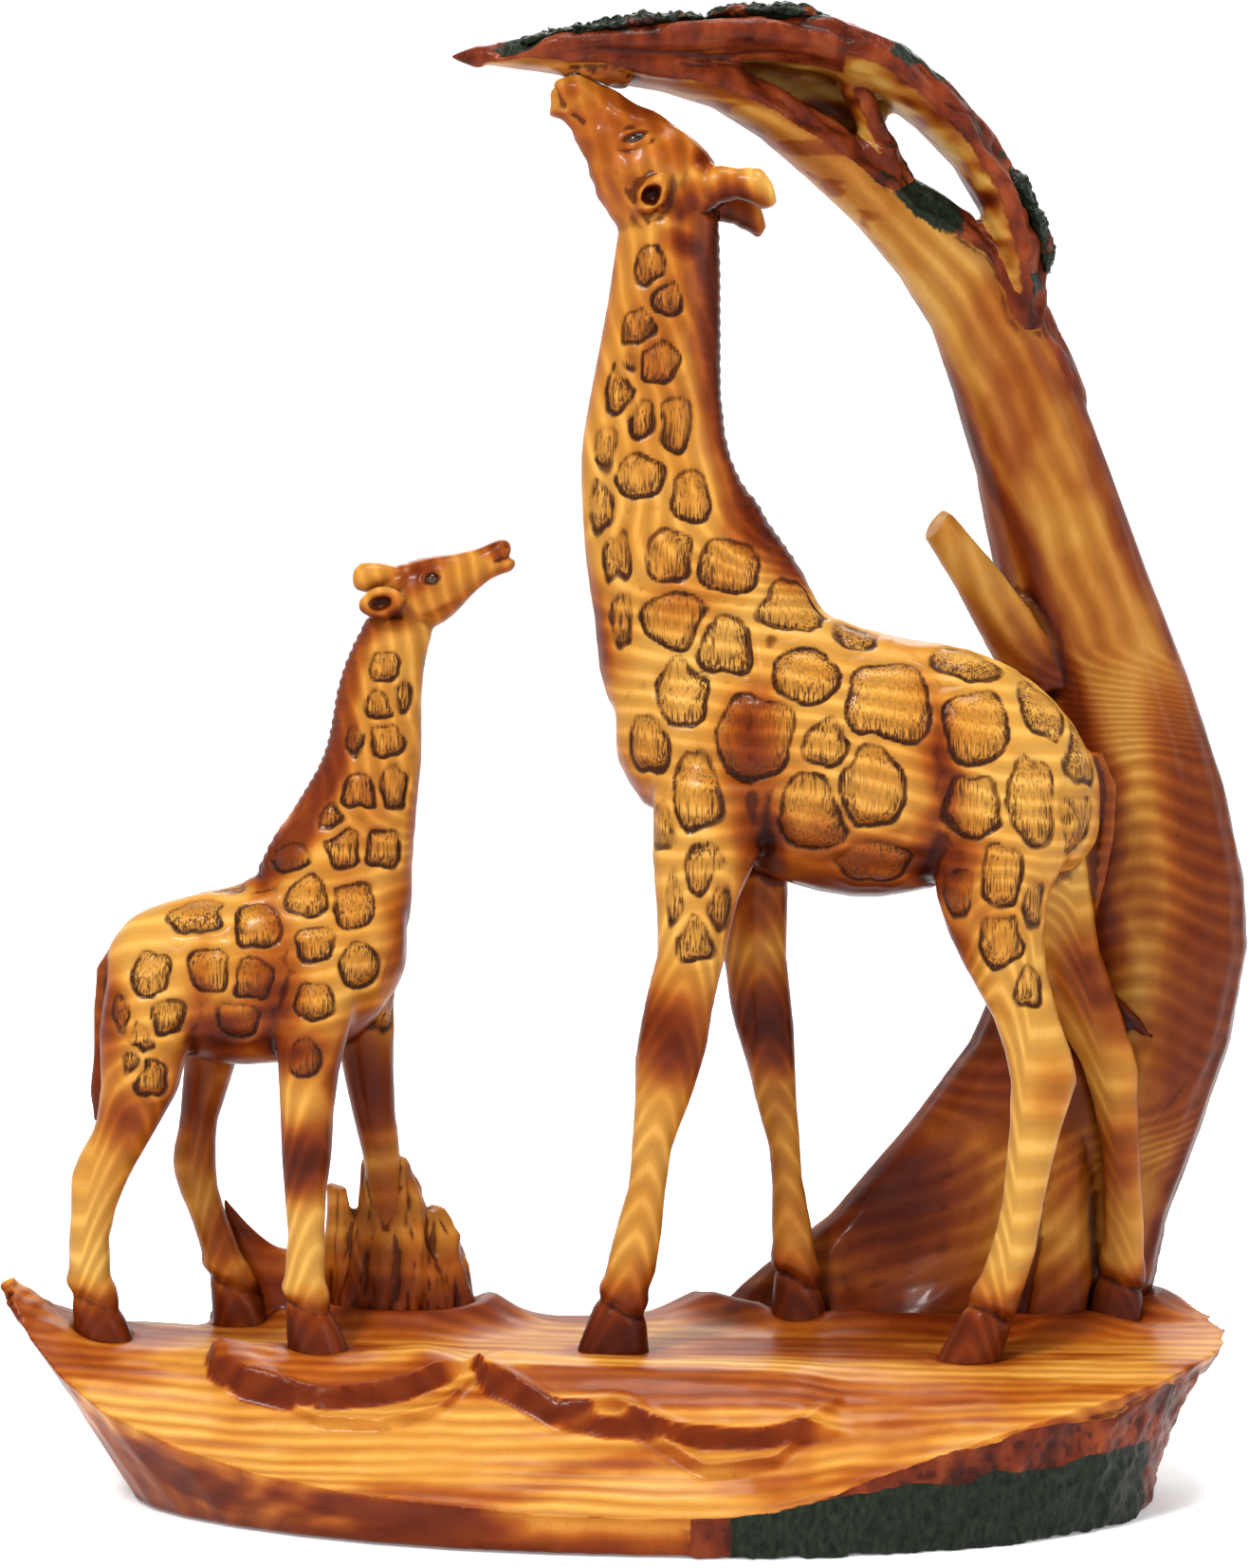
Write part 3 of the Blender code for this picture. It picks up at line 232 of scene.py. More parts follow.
class Skin:
    """A fine, even mesh over CAD nodes, in millimetres, that sculpting steps push about."""

    def __init__(self, name, nodes, voxel, grow, passes, swell=0.0, lumps=None):
        self.name, self.nodes = name, nodes
        raw = self.gather(nodes, grow, lumps)
        even = raw.modifiers.new("even", "REMESH")
        even.mode = "VOXEL"
        even.voxel_size = voxel * MM
        graph = bpy.context.evaluated_depsgraph_get()
        self.mesh = bpy.data.meshes.new_from_object(raw.evaluated_get(graph))
        bpy.data.objects.remove(raw)
        count = len(self.mesh.vertices)
        self.co = np.empty(count * 3, np.float32)
        self.mesh.vertices.foreach_get("co", self.co)
        self.co = self.co.reshape(-1, 3).astype(float) / MM
        ends = np.empty(len(self.mesh.edges) * 2, np.int32)
        self.mesh.edges.foreach_get("vertices", ends)
        self.ends = ends.reshape(-1, 2)
        self.degree = np.bincount(ends, minlength=count)
        self.relax(passes)
        self.fields = {}
        self.measure()
        self.push(swell - grow)

    @staticmethod
    def gather(nodes, grow, lumps):
        """The nodes' surfaces in one object, swollen so that the glue gaps between them close.

        lumps is how many small balls to set on the surface, and their radii in mm.
        """
        builder = bmesh.new()
        for name in nodes:
            builder.from_mesh(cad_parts[name].data)
        bmesh.ops.remove_doubles(builder, verts=builder.verts, dist=WELD)
        builder.normal_update()
        moves = [vertex.normal * grow * MM for vertex in builder.verts]
        for vertex, move in zip(builder.verts, moves):
            vertex.co += move
        if lumps:
            count, low, high = lumps
            draw = np.random.default_rng(5)
            balls = []
            faces = [face for face in builder.faces if face.normal.z > -0.2]
            sizes = np.array([face.calc_area() for face in faces])
            for pick in draw.choice(len(faces), count, p=sizes / sizes.sum()):
                shares = draw.dirichlet(np.ones(len(faces[pick].verts)))
                seat = sum((vertex.co * share for vertex, share in zip(faces[pick].verts, shares)), Vector())
                ball = Matrix.Translation(seat) @ Matrix.Scale(draw.uniform(low, high) * MM, 4)
                balls.append(ball)
            for ball in balls:
                bmesh.ops.create_icosphere(builder, subdivisions=1, radius=1.0, matrix=ball)
        mesh = bpy.data.meshes.new("raw")
        builder.to_mesh(mesh)
        builder.free()
        return put("raw", mesh)

    def mean(self, values):
        """The mean of each point's neighbours."""
        if values.ndim == 2:
            return np.stack([self.mean(column) for column in values.T], axis=1)
        a, b = self.ends.T
        count = len(self.degree)
        return (np.bincount(a, values[b], count) + np.bincount(b, values[a], count)) / self.degree

    def blur(self, values, passes):
        for _ in range(passes):
            values = 0.5 * (values + self.mean(values))
        return values

    def relax(self, passes):
        """Smooths without shrinking."""
        for _ in range(passes):
            for step in (0.5, -0.53):
                self.co += (self.mean(self.co) - self.co) * step

    def fill(self, share, passes):
        """Draws the points in until a pocket closes, where share says."""
        for _ in range(passes):
            self.co += (self.mean(self.co) - self.co) * share[:, None]

    def measure(self):
        self.mesh.vertices.foreach_set("co", (self.co * MM).astype(np.float32).ravel())
        self.mesh.update()
        normals = np.empty(len(self.co) * 3, np.float32)
        self.mesh.vertex_normals.foreach_get("vector", normals)
        self.normals = normals.reshape(-1, 3).astype(float)

    def push(self, amount):
        """Moves each point along its normal by this many millimetres."""
        self.co += self.normals * (np.zeros(len(self.co)) + amount)[:, None]
        self.measure()

    def hollows(self, passes):
        """How far each point lies below its surroundings, in mm."""
        return ((self.blur(self.co, passes) - self.co) * self.normals).sum(axis=1)

    def shade_hollows(self):
        """Painted shade darkens fine creases and wider hollows, and stays off ridges."""
        fine, wide = self.hollows(4), self.hollows(40)
        self.fields["deep"] = np.clip(fine * 9.0 + np.clip(wide, -0.1, 1.0) * 0.7, 0.0, 1.0)

    def settle(self, passes):
        """Smooths what was sculpted, and paints shade into its hollows."""
        self.relax(passes)
        self.measure()
        self.shade_hollows()

    def piece(self, material, slot):
        """The finished object, riding on the statue in place of its nodes."""
        self.mesh.name = self.name
        self.mesh.materials.clear()
        self.mesh.materials.append(material)
        self.mesh.shade_smooth()
        for name, values in self.fields.items():
            attribute = self.mesh.attributes.new(name, "FLOAT", "POINT")
            attribute.data.foreach_set("value", values.astype(np.float32))
        made = put(self.name, self.mesh)
        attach(made, "root")
        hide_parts(*self.nodes)


# ---------------------------------------------------------------- paint


def linear(red, green, blue):
    """A linear colour from an sRGB one."""
    return tuple(
        v / 12.92 if v <= 0.04045 else ((v + 0.055) / 1.055) ** 2.4 for v in (red, green, blue)
    )


class Paint:
    """Short names for the nodes of one material."""

    def __init__(self, name, roughness=0.4, coat=0.0, coat_roughness=0.2, specular=0.5):
        self.material = bpy.data.materials.new(name)
        self.material.use_nodes = True
        self.tree = self.material.node_tree
        self.shader = self.tree.nodes["Principled BSDF"]
        self.set("Roughness", roughness)
        self.set("Coat Weight", coat)
        self.set("Coat Roughness", coat_roughness)
        self.set("Specular IOR Level", specular)
        spot = self.node("ShaderNodeTexCoord").outputs["Object"]
        scaled = self.node("ShaderNodeVectorMath")
        scaled.operation = "SCALE"
        self.feed(scaled.inputs[0], spot)
        scaled.inputs["Scale"].default_value = 1.0 / MM
        self.place = scaled.outputs[0]

    def node(self, kind):
        return self.tree.nodes.new(kind)

    def feed(self, socket, value):
        if isinstance(value, bpy.types.NodeSocket):
            self.tree.links.new(value, socket)
        elif socket.type == "RGBA" and len(value) == 3:
            socket.default_value = (*value, 1.0)
        else:
            socket.default_value = value

    def set(self, name, value):
        self.feed(self.shader.inputs[name], value)

    def math(self, operation, *values):
        made = self.node("ShaderNodeMath")
        made.operation = operation
        for socket, value in zip(made.inputs, values):
            self.feed(socket, value)
        return made.outputs[0]

    def add(self, *values):
        return functools.reduce(functools.partial(self.math, "ADD"), values)

    def times(self, *values):
        return functools.reduce(functools.partial(self.math, "MULTIPLY"), values)

    def smooth(self, value, low, high):
        """0 at low, 1 at high."""
        made = self.node("ShaderNodeMapRange")
        made.interpolation_type = "SMOOTHSTEP"
        for name, given in (("Value", value), ("From Min", low), ("From Max", high)):
            self.feed(made.inputs[name], given)
        return made.outputs["Result"]

    def field(self, name):
        made = self.node("ShaderNodeAttribute")
        made.attribute_name = name
        return made.outputs["Fac"]

    def noise(self, size, detail=2.0, roughness=0.5):
        """Noise from 0 to 1, in lumps of this size in mm along each axis."""
        place = self.node("ShaderNodeVectorMath")
        place.operation = "DIVIDE"
        self.feed(place.inputs[0], self.place)
        place.inputs[1].default_value = size
        made = self.node("ShaderNodeTexNoise")
        self.feed(made.inputs["Vector"], place.outputs[0])
        made.inputs["Scale"].default_value = 1.0
        made.inputs["Detail"].default_value = detail
        made.inputs["Roughness"].default_value = roughness
        return made.outputs["Fac"]

    def mix(self, amount, a, b, blend="MIX"):
        made = self.node("ShaderNodeMix")
        made.data_type = "RGBA"
        made.blend_type = blend
        for index, value in ((0, amount), (6, a), (7, b)):
            self.feed(made.inputs[index], value)
        return made.outputs[2]

    def colours(self, value, stops):
        made = self.node("ShaderNodeValToRGB")
        self.feed(made.inputs["Fac"], value)
        elements = made.color_ramp.elements
        while len(elements) < len(stops):
            elements.new(0.5)
        for element, (place, colour) in zip(elements, stops):
            element.position = place
            element.color = (*colour, 1.0)
        return made.outputs["Color"]

    def bump(self, height, strength, distance):
        """distance is the relief in millimetres for a height of 1."""
        made = self.node("ShaderNodeBump")
        made.inputs["Strength"].default_value = strength
        made.inputs["Distance"].default_value = distance * MM
        self.feed(made.inputs["Height"], height)
        self.tree.links.new(made.outputs["Normal"], self.shader.inputs["Normal"])


# Tones for the stain field, which holds red-brown stain and some painted shade.
STAIN_AND_SHADE_TONES = [
    (0.0, (1.0, 1.0, 1.0)),
    (0.25, (0.84, 0.66, 0.45)),
    (0.5, (0.54, 0.25, 0.11)),
    (0.75, (0.27, 0.075, 0.035)),
    (1.0, (0.11, 0.024, 0.014)),
]


BARK_TONES = [
    (0.28, linear(0.17, 0.05, 0.025)),
    (0.5, linear(0.36, 0.13, 0.05)),
    (0.78, linear(0.52, 0.24, 0.11)),
]


def wood_paint(name, pitch, pale, mid, grey, coat_pattern=False, crust=False):
    """Printed wood lines, a red-brown stain over them with some painted shade, and painted shade in the
    hollows.
    """
    p = Paint(name, coat=0.04, coat_roughness=0.08, specular=0.07)
    wander = p.noise((16.0, 16.0, 16.0))
    fibres = p.noise((0.5, 0.5, 5.0))
    count = p.add(p.times(p.field("grain"), 1.0 / pitch), p.times(wander, 0.8))
    lines = p.math("FRACT", count)
    stripes = p.colours(
        lines, [(0.0, pale), (0.14, pale), (0.30, mid), (0.6, grey), (0.82, mid), (1.0, pale)],
    )
    cloudy = p.noise((22.0, 22.0, 14.0))
    wood = p.mix(p.times(p.smooth(cloudy, 0.35, 0.8), 0.7), stripes, mid)
    wood = p.mix(p.times(p.smooth(fibres, 0.5, 0.8), 0.3), wood, grey)

    blotch = p.noise((5.0, 5.0, 7.0), detail=3.0)
    stain = p.add(p.field("stain"), p.times(p.add(blotch, -0.5), 0.24))
    colour = p.mix(1.0, wood, p.colours(stain, STAIN_AND_SHADE_TONES), "MULTIPLY")
    height = p.times(p.smooth(lines, 0.0, 0.5), 0.10)

    if coat_pattern:
        colour, height = coat_marks(p, colour, height)

    speck = p.noise((0.8, 0.8, 1.6), detail=3.0)
    # Painted shade darkens the hollows, and the bark in them.
    deep = p.times(p.smooth(p.add(p.field("deep"), p.times(p.add(speck, -0.5), 0.5)), 0.12, 0.75), 0.85)
    colour = p.mix(deep, colour, p.mix(1.0, colour, (0.20, 0.10, 0.07), "MULTIPLY"))

    if crust:
        bark = p.smooth(p.add(p.field("bark"), p.times(p.add(speck, -0.5), 0.3)), 0.42, 0.58)
        bark_tone = p.colours(blotch, BARK_TONES)
        bark_tone = p.mix(p.times(deep, 0.8), bark_tone, linear(0.14, 0.05, 0.035))
        colour = p.mix(bark, colour, bark_tone)
        moss = p.smooth(p.add(p.field("moss"), p.times(p.add(speck, -0.5), 0.5)), 0.42, 0.58)
        moss_tone = p.colours(speck, [(0.3, linear(0.03, 0.05, 0.03)), (0.72, linear(0.13, 0.16, 0.11))])
        colour = p.mix(moss, colour, moss_tone)
        height = p.add(height, p.times(p.add(bark, moss), speck, 1.6))

    p.set("Base Color", colour)
    p.set("Roughness", p.add(0.24, p.times(fibres, 0.18)))
    p.bump(height, 0.6, 0.22)
    return p.material


def coat_marks(p, colour, height):
    """Hatched outlines that are heavy at the bottom of each patch, scratches inside it, and a painted shine
    in its middle.
    """
    dark = (0.070, 0.022, 0.006)
    spot, edge = p.field("spot"), p.field("edge")
    hairs = p.noise((0.28, 0.28, 3.6), roughness=0.6)
    strokes = p.smooth(hairs, 0.47, 0.56)
    inside = p.smooth(spot, -0.25, 0.2)
    colour = p.mix(p.times(inside, 0.45), colour, p.mix(1.0, colour, (0.80, 0.68, 0.50), "MULTIPLY"))
    core = p.times(p.smooth(spot, p.add(0.42, p.times(edge, 0.3)), 0.12), p.smooth(spot, -0.30, -0.02))
    core = p.times(core, p.add(0.10, p.times(p.smooth(edge, 0.22, 0.85), 0.88)))
    reach = p.add(0.7, p.times(edge, 2.7))
    hatch = p.times(p.smooth(spot, reach, p.times(reach, 0.35)), strokes, p.smooth(edge, 0.0, 0.35))
    hatch = p.times(hatch, p.smooth(spot, -0.25, 0.1))
    colour = p.mix(p.times(p.math("MAXIMUM", core, hatch), 0.9), colour, dark)
    near_top = p.smooth(spot, 3.4, 0.8)
    scratch = p.times(p.smooth(hairs, 0.55, 0.62), inside, p.add(p.times(near_top, 0.5), 0.3))
    colour = p.mix(scratch, colour, dark)
    # A painted shine lightens the middle of each patch.
    painted_shine = p.times(p.smooth(hairs, 0.47, 0.40), p.smooth(spot, 0.9, 2.6), 0.45)
    colour = p.mix(painted_shine, colour, p.mix(1.0, colour, (1.40, 1.42, 1.4), "MULTIPLY"))
    return colour, p.add(height, p.times(core, -0.6), p.times(hatch, -0.6), p.times(scratch, -0.9))


def eye_paint():
    """A dark glossy eye, browner towards its rim."""
    p = Paint("giraffe_eye", roughness=0.12, coat=0.15, coat_roughness=0.05, specular=0.3)
    cloud = p.noise((0.9, 0.9, 0.9))
    p.set("Base Color", p.colours(cloud, [(0.35, (0.010, 0.004, 0.002)), (0.75, (0.060, 0.022, 0.008))]))
    return p.material


# ---------------------------------------------------------------- giraffe coats

# Patches on the near side: x, z, half width, half height, how much narrower the top is.
COW_PATCHES = [
    (16, 151, 4.7, 4.5, 0), (4, 153, 3.6, 4.5, 0), (5, 143, 5, 4.7, -0.1), (-3.5, 142, 1.8, 5, 0),
    (26, 145, 4.5, 4.3, 0.3), (15, 138.5, 4.3, 5, 0), (6.5, 131.5, 4.3, 4.9, 0), (27, 135, 5.3, 4.4, 0),
    (35, 141, 3.9, 2, 0), (40, 131, 6.6, 6.5, 0.1), (30, 124, 3.7, 4.1, 0), (53, 137, 5.3, 3, 0),
    (54, 127, 5.3, 5.7, 0.05), (66, 130, 4, 4.4, 0), (0.5, 122, 3.2, 5, 0.1), (8.5, 117, 3.9, 6.2, 0.3),
    (17.5, 124.5, 5.9, 6.8, 0), (27, 111, 5, 6.6, 0.35), (38, 115.5, 5.3, 6.4, 0.1),
    (38, 102.5, 6, 3.5, -0.1), (52, 113.5, 4.3, 5.2, 0.1), (63, 115, 4, 6.9, 0.15), (57, 103, 3.6, 5, 0),
    (63.5, 97, 1.9, 4.6, 0), (49.5, 100, 2.4, 4.1, -0.2), (56.5, 91, 3.7, 4.2, 0), (63, 85, 2.3, 3.3, 0.1),
    (10, 104, 3.3, 4.3, 0), (5, 99, 1.5, 4.8, 0.2), (14, 98, 2, 5.1, 0.2), (8.5, 92.5, 2.9, 3.8, 0.3),
    (1, 199, 2.5, 3.3, 0.1), (6, 193, 2.5, 3, 0), (-1, 189, 2.8, 3.2, 0.2), (4, 184, 3.3, 3.6, 0),
    (-4, 179, 2.4, 4, 0.2), (0, 175, 2.6, 3.2, 0.2), (7, 174, 3, 4.2, 0), (-1, 165, 4, 3.6, 0),
    (9, 163, 3.3, 4, 0), (-7, 160, 2, 4.5, 0), (-4.5, 151.5, 2.2, 4.5, 0), (-6, 170, 1.8, 4, 0),
    (-2.5, 183, 1.6, 3, 0), (2.5, 110, 2.2, 3.6, 0.2), (72, 122, 2.6, 4.8, 0), (71, 110, 2.6, 5, 0),
]
CALF_PATCHES = [
    (-39, 135, 2.4, 2.6, 0), (-42, 129.5, 2.2, 2.6, 0), (-36.3, 130, 1.6, 2.6, 0),
    (-45.5, 123.5, 2, 2.6, 0), (-39, 123, 3.2, 2.9, 0), (-44, 116, 2.8, 3, 0.1),
    (-37.6, 115.5, 2.4, 3.4, 0), (-49.5, 111.5, 2, 2.6, 0), (-46, 107, 3, 3.2, 0),
    (-39.4, 106.5, 2.8, 3.3, 0), (-56.5, 105, 3.2, 2.4, 0), (-52.8, 99.5, 3.4, 3.4, 0.1),
    (-44.5, 98, 3.5, 3.6, 0), (-71, 96.5, 4.2, 2.6, 0), (-61, 95, 3.6, 3.8, 0), (-51.4, 92, 3.2, 2.9, 0),
    (-78, 87, 3.2, 3.6, 0), (-69, 87, 3.8, 3.6, 0), (-43, 87, 3.2, 3.6, 0), (-60.5, 85, 3.6, 3.6, 0),
    (-52, 83, 3.2, 3.2, 0), (-83.5, 80.5, 1.6, 3, 0), (-79.3, 77, 2, 2.6, 0.2), (-73.6, 80, 2.6, 3, 0),
    (-63.5, 77.5, 3.4, 3.2, 0), (-81.5, 72.5, 1.7, 2.4, 0), (-76, 70, 2.7, 3, 0.1),
    (-53.6, 74, 2.6, 3.2, 0.2), (-66.5, 104, 3, 1.8, 0), (-40, 78.5, 2, 3, 0),
]
# Stain on a giraffe: x, z, reach in x, reach in z, turn in degrees, strength.
COW_STAINS = [
    (18, 123, 6, 12, 5, 0.72), (19.5, 107, 5.5, 9, 0, 0.85), (34, 96.5, 20, 5.5, 0, 0.75),
    (48, 117, 3.4, 13, 4, 0.7), (33, 105, 18, 7, 0, 0.42), (-9, 126, 4, 12, 0, 0.5),
    (48.5, 103, 5.5, 6.5, 0, 0.8), (77.5, 117, 3.6, 14, 0, 0.55), (70, 135, 9, 4, -35, 0.35),
    (-6.5, 139, 4, 9, 0, 0.65), (8, 147, 10, 6, 0, 0.42), (-3, 112, 3.5, 8, 0, 0.35),
    (6, 216.5, 6.5, 4.6, 50, 0.62), (10.5, 215.5, 3.4, 3.4, 0, 0.92), (0.5, 222.8, 14, 3.6, -36, 0.55),
    (8.5, 208, 5.5, 4.5, 20, 0.8), (8.5, 202.5, 6, 3.5, 0, 0.92), (10, 196, 5, 8, 0, 0.55),
    (-10.5, 226, 3, 3, 0, 0.5), (0, 216, 18, 14, 0, 0.42), (4, 186, 14, 34, 0, 0.36),
    (5.5, 75.5, 7, 8, 15, 0.85), (21, 76, 6.5, 9, 10, 0.95), (19, 97, 7, 9, 0, 0.55),
    (66.5, 69, 5, 6, 0, 0.45), (75, 82, 7, 12, 20, 0.7), (24.5, 56, 6, 14, 5, 0.38),
    (80, 50, 7, 18, 0, 0.42), (50, 92, 2.6, 8, 20, 0.5), (18, 136, 4, 6, 0, 0.2),
]
COW_NAPE = [(14.0, 207.0), (13.5, 195.0), (14.0, 183.0), (15.5, 172.0), (19.5, 162.0), (27.0, 152.5)]
CALF_STAINS = [
    (-58, 83, 6, 9, 0, 0.75), (-66, 76, 7, 6, 0, 0.8), (-56, 75, 8, 4, 0, 0.7), (-86, 80, 4, 11, 0, 0.7),
    (-70, 84, 3, 9, 0, 0.4), (-36, 92, 3.6, 9, 0, 0.85), (-46, 102, 6, 5, 0, 0.3),
    (-34, 150, 6, 4, 25, 0.85), (-30, 152.6, 11, 2.8, 20, 0.72), (-38, 143, 5, 4, 0, 0.65),
    (-22, 153.5, 4, 3, 25, 0.75), (-53, 57, 6, 5.5, 0, 0.85), (-43.5, 66, 6, 12, 0, 0.75),
    (-80, 63, 6, 5, 30, 0.5), (-71.5, 62, 6, 14, 0, 0.7), (-68, 40, 5, 9, 0, 0.6), (-41, 45, 4, 9, 0, 0.5),
    (-42, 126, 10, 28, 0, 0.34), (-30, 150, 14, 8, 20, 0.42), (-34.6, 116, 2.6, 14, 0, 0.5),
    (-37, 92, 4, 14, 0, 0.7), (-44, 140, 5, 3, 0, 0.6), (-57, 92, 3, 12, 10, 0.45),
]
CALF_NAPE = [(-43.5, 141.0), (-46.5, 131.0), (-49.0, 119.0), (-54.0, 108.5), (-61.0, 101.0)]


def anchor(skin, side, x, z):
    """The outermost point on that side at x, z, and the normal there."""
    facing = side * skin.normals[:, 1]
    away = np.hypot(skin.co[:, 0] - x, skin.co[:, 2] - z)
    facing_points = np.flatnonzero(facing > 0.2)
    near = facing_points[away[facing_points] < 1.3]
    if len(near) == 0:
        point = skin.co[facing_points[away[facing_points].argmin()]]
    else:
        point = skin.co[near[(side * skin.co[near, 1]).argmax()]]
    around = np.linalg.norm(skin.co - point, axis=1) < 2.2
    normal = skin.normals[around].mean(axis=0)
    return point, normal / np.linalg.norm(normal)


def patch_distance(skin, point, normal, half_width, half_height, narrowing, phases):
    """1 on the patch's outline and 0 at its middle, with how low on the patch each point lies."""
    level = np.array((1.0, 0.0, 0.0)) - normal[0] * normal
    level /= np.linalg.norm(level)
    upward = np.cross(level, normal)
    upward *= math.copysign(1.0, upward[2])
    away = skin.co - point
    u = away @ level / half_width * max(0.6, abs(level[0]))
    v = away @ upward / half_height * max(0.6, abs(upward[2]))
    u = u / np.clip(1.0 - narrowing * v, 0.4, 1.6)
    angle = np.arctan2(v, u)
    round_part = (np.abs(u) ** 2.5 + np.abs(v) ** 2.5) ** 0.4
    wobble = 1.0 + sum(
        0.055 * math.sin(phase) * np.sin(fold * angle + phase * fold)
        for fold, phase in zip((2, 3, 4, 5), phases)
    )
    other_side = np.abs(away @ normal) > 1.2 * max(half_width, half_height) + 1.5
    hidden = other_side | (skin.normals @ normal < -0.1)
    return np.where(hidden, 9.0, round_part / wobble), -v / np.maximum(round_part, 0.2)


def lay_coat(skin, patches):
    """Carves the coat's patches: a groove round each, and a low scratched cushion inside."""
    draw = np.random.default_rng(11)
    nearest = np.full(len(skin.co), 9.0)
    second = nearest.copy()
    size = np.ones(len(skin.co))
    lowness = np.zeros(len(skin.co))
    for side in (-1.0, 1.0):
        for x, z, half_width, half_height, narrowing in patches:
            phases = draw.uniform(0.0, 6.28, 4)
            shift, scale = draw.normal(0.0, 1.0, 2), draw.uniform(0.92, 1.1)
            if side > 0:
                x, z = x + shift[0], z + shift[1]
                half_width, half_height = half_width * scale, half_height * scale
            point, normal = anchor(skin, side, x, z)
            reach, low = patch_distance(
                skin, point, normal, half_width, half_height, narrowing, phases
            )
            closer = reach < nearest
            second = np.where(closer, nearest, np.minimum(second, reach))
            size = np.where(closer, min(half_width, half_height), size)
            lowness = np.where(closer, low, lowness)
            nearest = np.minimum(nearest, reach)
    spot = np.minimum((1.0 - nearest) * size, (second - nearest) * 0.5 * size - 0.5)
    spot = np.clip(spot + 0.2 * noise(skin.co, 1.7, 2), OUTSIDE, 6.0)
    skin.fields["spot"] = spot
    ragged = noise(skin.co, 3.2, 2)
    skin.fields["edge"] = np.clip(0.42 + 0.5 * lowness + 0.7 * ragged, 0.0, 1.0)
    groove = -0.40 * hump(spot, 0.25, 0.40) * (0.4 + 0.6 * skin.fields["edge"])
    band = 0.14 * hump(spot, -0.9, 0.7)
    cushion = 0.34 * ramp(0.5, 2.2, spot)
    skin.push(groove + band + cushion)


def stains_of(skin, stains, strip, strip_width, strength):
    """The stain's landmarks, and the strip down the nape."""
    wavy = skin.co + np.stack([noise(skin.co + 50 * k, 9.0, 2) for k in range(3)], axis=1) * 1.6
    total = np.zeros(len(skin.co))
    for x, z, reach_x, reach_z, turn, depth in stains:
        total = np.maximum(total, depth * turned_bell(wavy, x, z, reach_x, reach_z, turn))
    away, _ = nearest_on(wavy[:, [0, 2]], strip)
    strip_stain = strength * ramp(1.7 * strip_width, 0.3 * strip_width, away + 1.2 * noise(skin.co, 5.0, 2))
    return np.maximum(total, strip_stain)


# ---------------------------------------------------------------- giraffe sculpting


def leg_lines(skin, hooves, hips, top):
    """Across-leg distance and height blended into lines that point upward like flames."""
    height = skin.co[:, 2]
    best = np.full(len(skin.co), np.inf)
    across = np.zeros(len(skin.co))
    for hoof, hip in zip(hooves, hips):
        share = np.clip((height - hoof[2]) / (hip[2] - hoof[2]), 0, 1)[:, None]
        axis = np.array(hoof) + share * (np.array(hip) - np.array(hoof))
        away = np.linalg.norm(skin.co[:, :2] - axis[:, :2], axis=1)
        closer = away < best
        best[closer] = away[closer]
        across[closer] = (skin.co[:, 0] - axis[:, 0])[closer]
    flames = top + 0.55 * (height - top) + 0.5 * np.clip(np.abs(across), 0, 5.5) ** 1.6
    return flames, ramp(top + 8, top - 12, height)


def carve_hooves(skin, hooves, crown):
    """A step at the top of each hoof, and a cleft in front."""
    for hoof in hooves:
        away = skin.co - np.array(hoof)
        close = ramp(9, 6.5, np.hypot(away[:, 0], away[:, 1])) * ramp(crown + 7, crown + 4, skin.co[:, 2])
        slope = skin.co[:, 2] - crown + 0.35 * away[:, 0] + 0.8 * noise(skin.co, 4)
        step = -0.4 * hump(slope, 0, 1) + 0.45 * hump(slope, 2.4, 1.6)
        split = hump(away[:, 1], 0, 0.5) * ramp(0.5, -1.5, slope) * ramp(0, -2, away[:, 0])
        skin.push(close * (step - 0.7 * split))


def draw_line(skin, line, width, depth):
    """A groove, or a ridge if depth is negative, along points in the X-Z plane."""
    away, _ = nearest_on(skin.co[:, [0, 2]], line)
    skin.push(-depth * hump(away, 0, width))


def dab(skin, centre, radii, height):
    """Raises a rounded lump on both sides of the head, or sinks one if height is negative."""
    skin.push(height * twin_bell(skin.co, centre, radii))


def carve_eye(skin, name, x, z, length, height, turn, sink):
    """A lid-rimmed socket on each side of the head, with a glossy almond eye in it and painted shade along
    the upper lid.
    """
    c, s = math.cos(math.radians(turn)), math.sin(math.radians(turn))
    for label, side in (("near", -1), ("far", 1)):
        point, normal = anchor(skin, side, x, z)
        front = np.array((c, 0.0, s))
        front -= (front @ normal) * normal
        front /= np.linalg.norm(front)
        above = np.cross(front, normal)
        away = skin.co - point
        across, up = away @ front / length, away @ above / height
        reach = np.hypot(across, up)
        here = (np.abs(away @ normal) < 2.5) * (skin.normals @ normal > 0)
        lid_shade = 0.30 * hump(reach, 1.35, 0.35) - 0.6 * ramp(1.15, 0.6, reach)
        skin.push(lid_shade * here)
        # Painted shade along the upper lid, added later to the shade in the hollows.
        skin.fields.setdefault("lid_shade", np.zeros(len(skin.co)))
        skin.fields["lid_shade"] += hump(reach, 1, 0.35) * here * ramp(-0.6, 0.6, up)
        builder = bmesh.new()
        bmesh.ops.create_uvsphere(builder, u_segments=24, v_segments=16, radius=1.0)
        for vertex in builder.verts:
            along, over, out = vertex.co
            pinch = (1.0 - 0.75 * along * along) ** 0.6
            place = point - sink * normal + along * length * 0.95 * front
            place = place + over * height * pinch * above + out * 0.8 * height * pinch * normal
            vertex.co = Vector(place) * MM
        bmesh.ops.recalc_face_normals(builder, faces=builder.faces)
        mesh = bpy.data.meshes.new(f"{name}_{label}")
        builder.to_mesh(mesh)
        builder.free()
        mesh.shade_smooth()
        mesh.materials.append(EYE_PAINT)
        ball = put(mesh.name, mesh)
        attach(ball, "root")


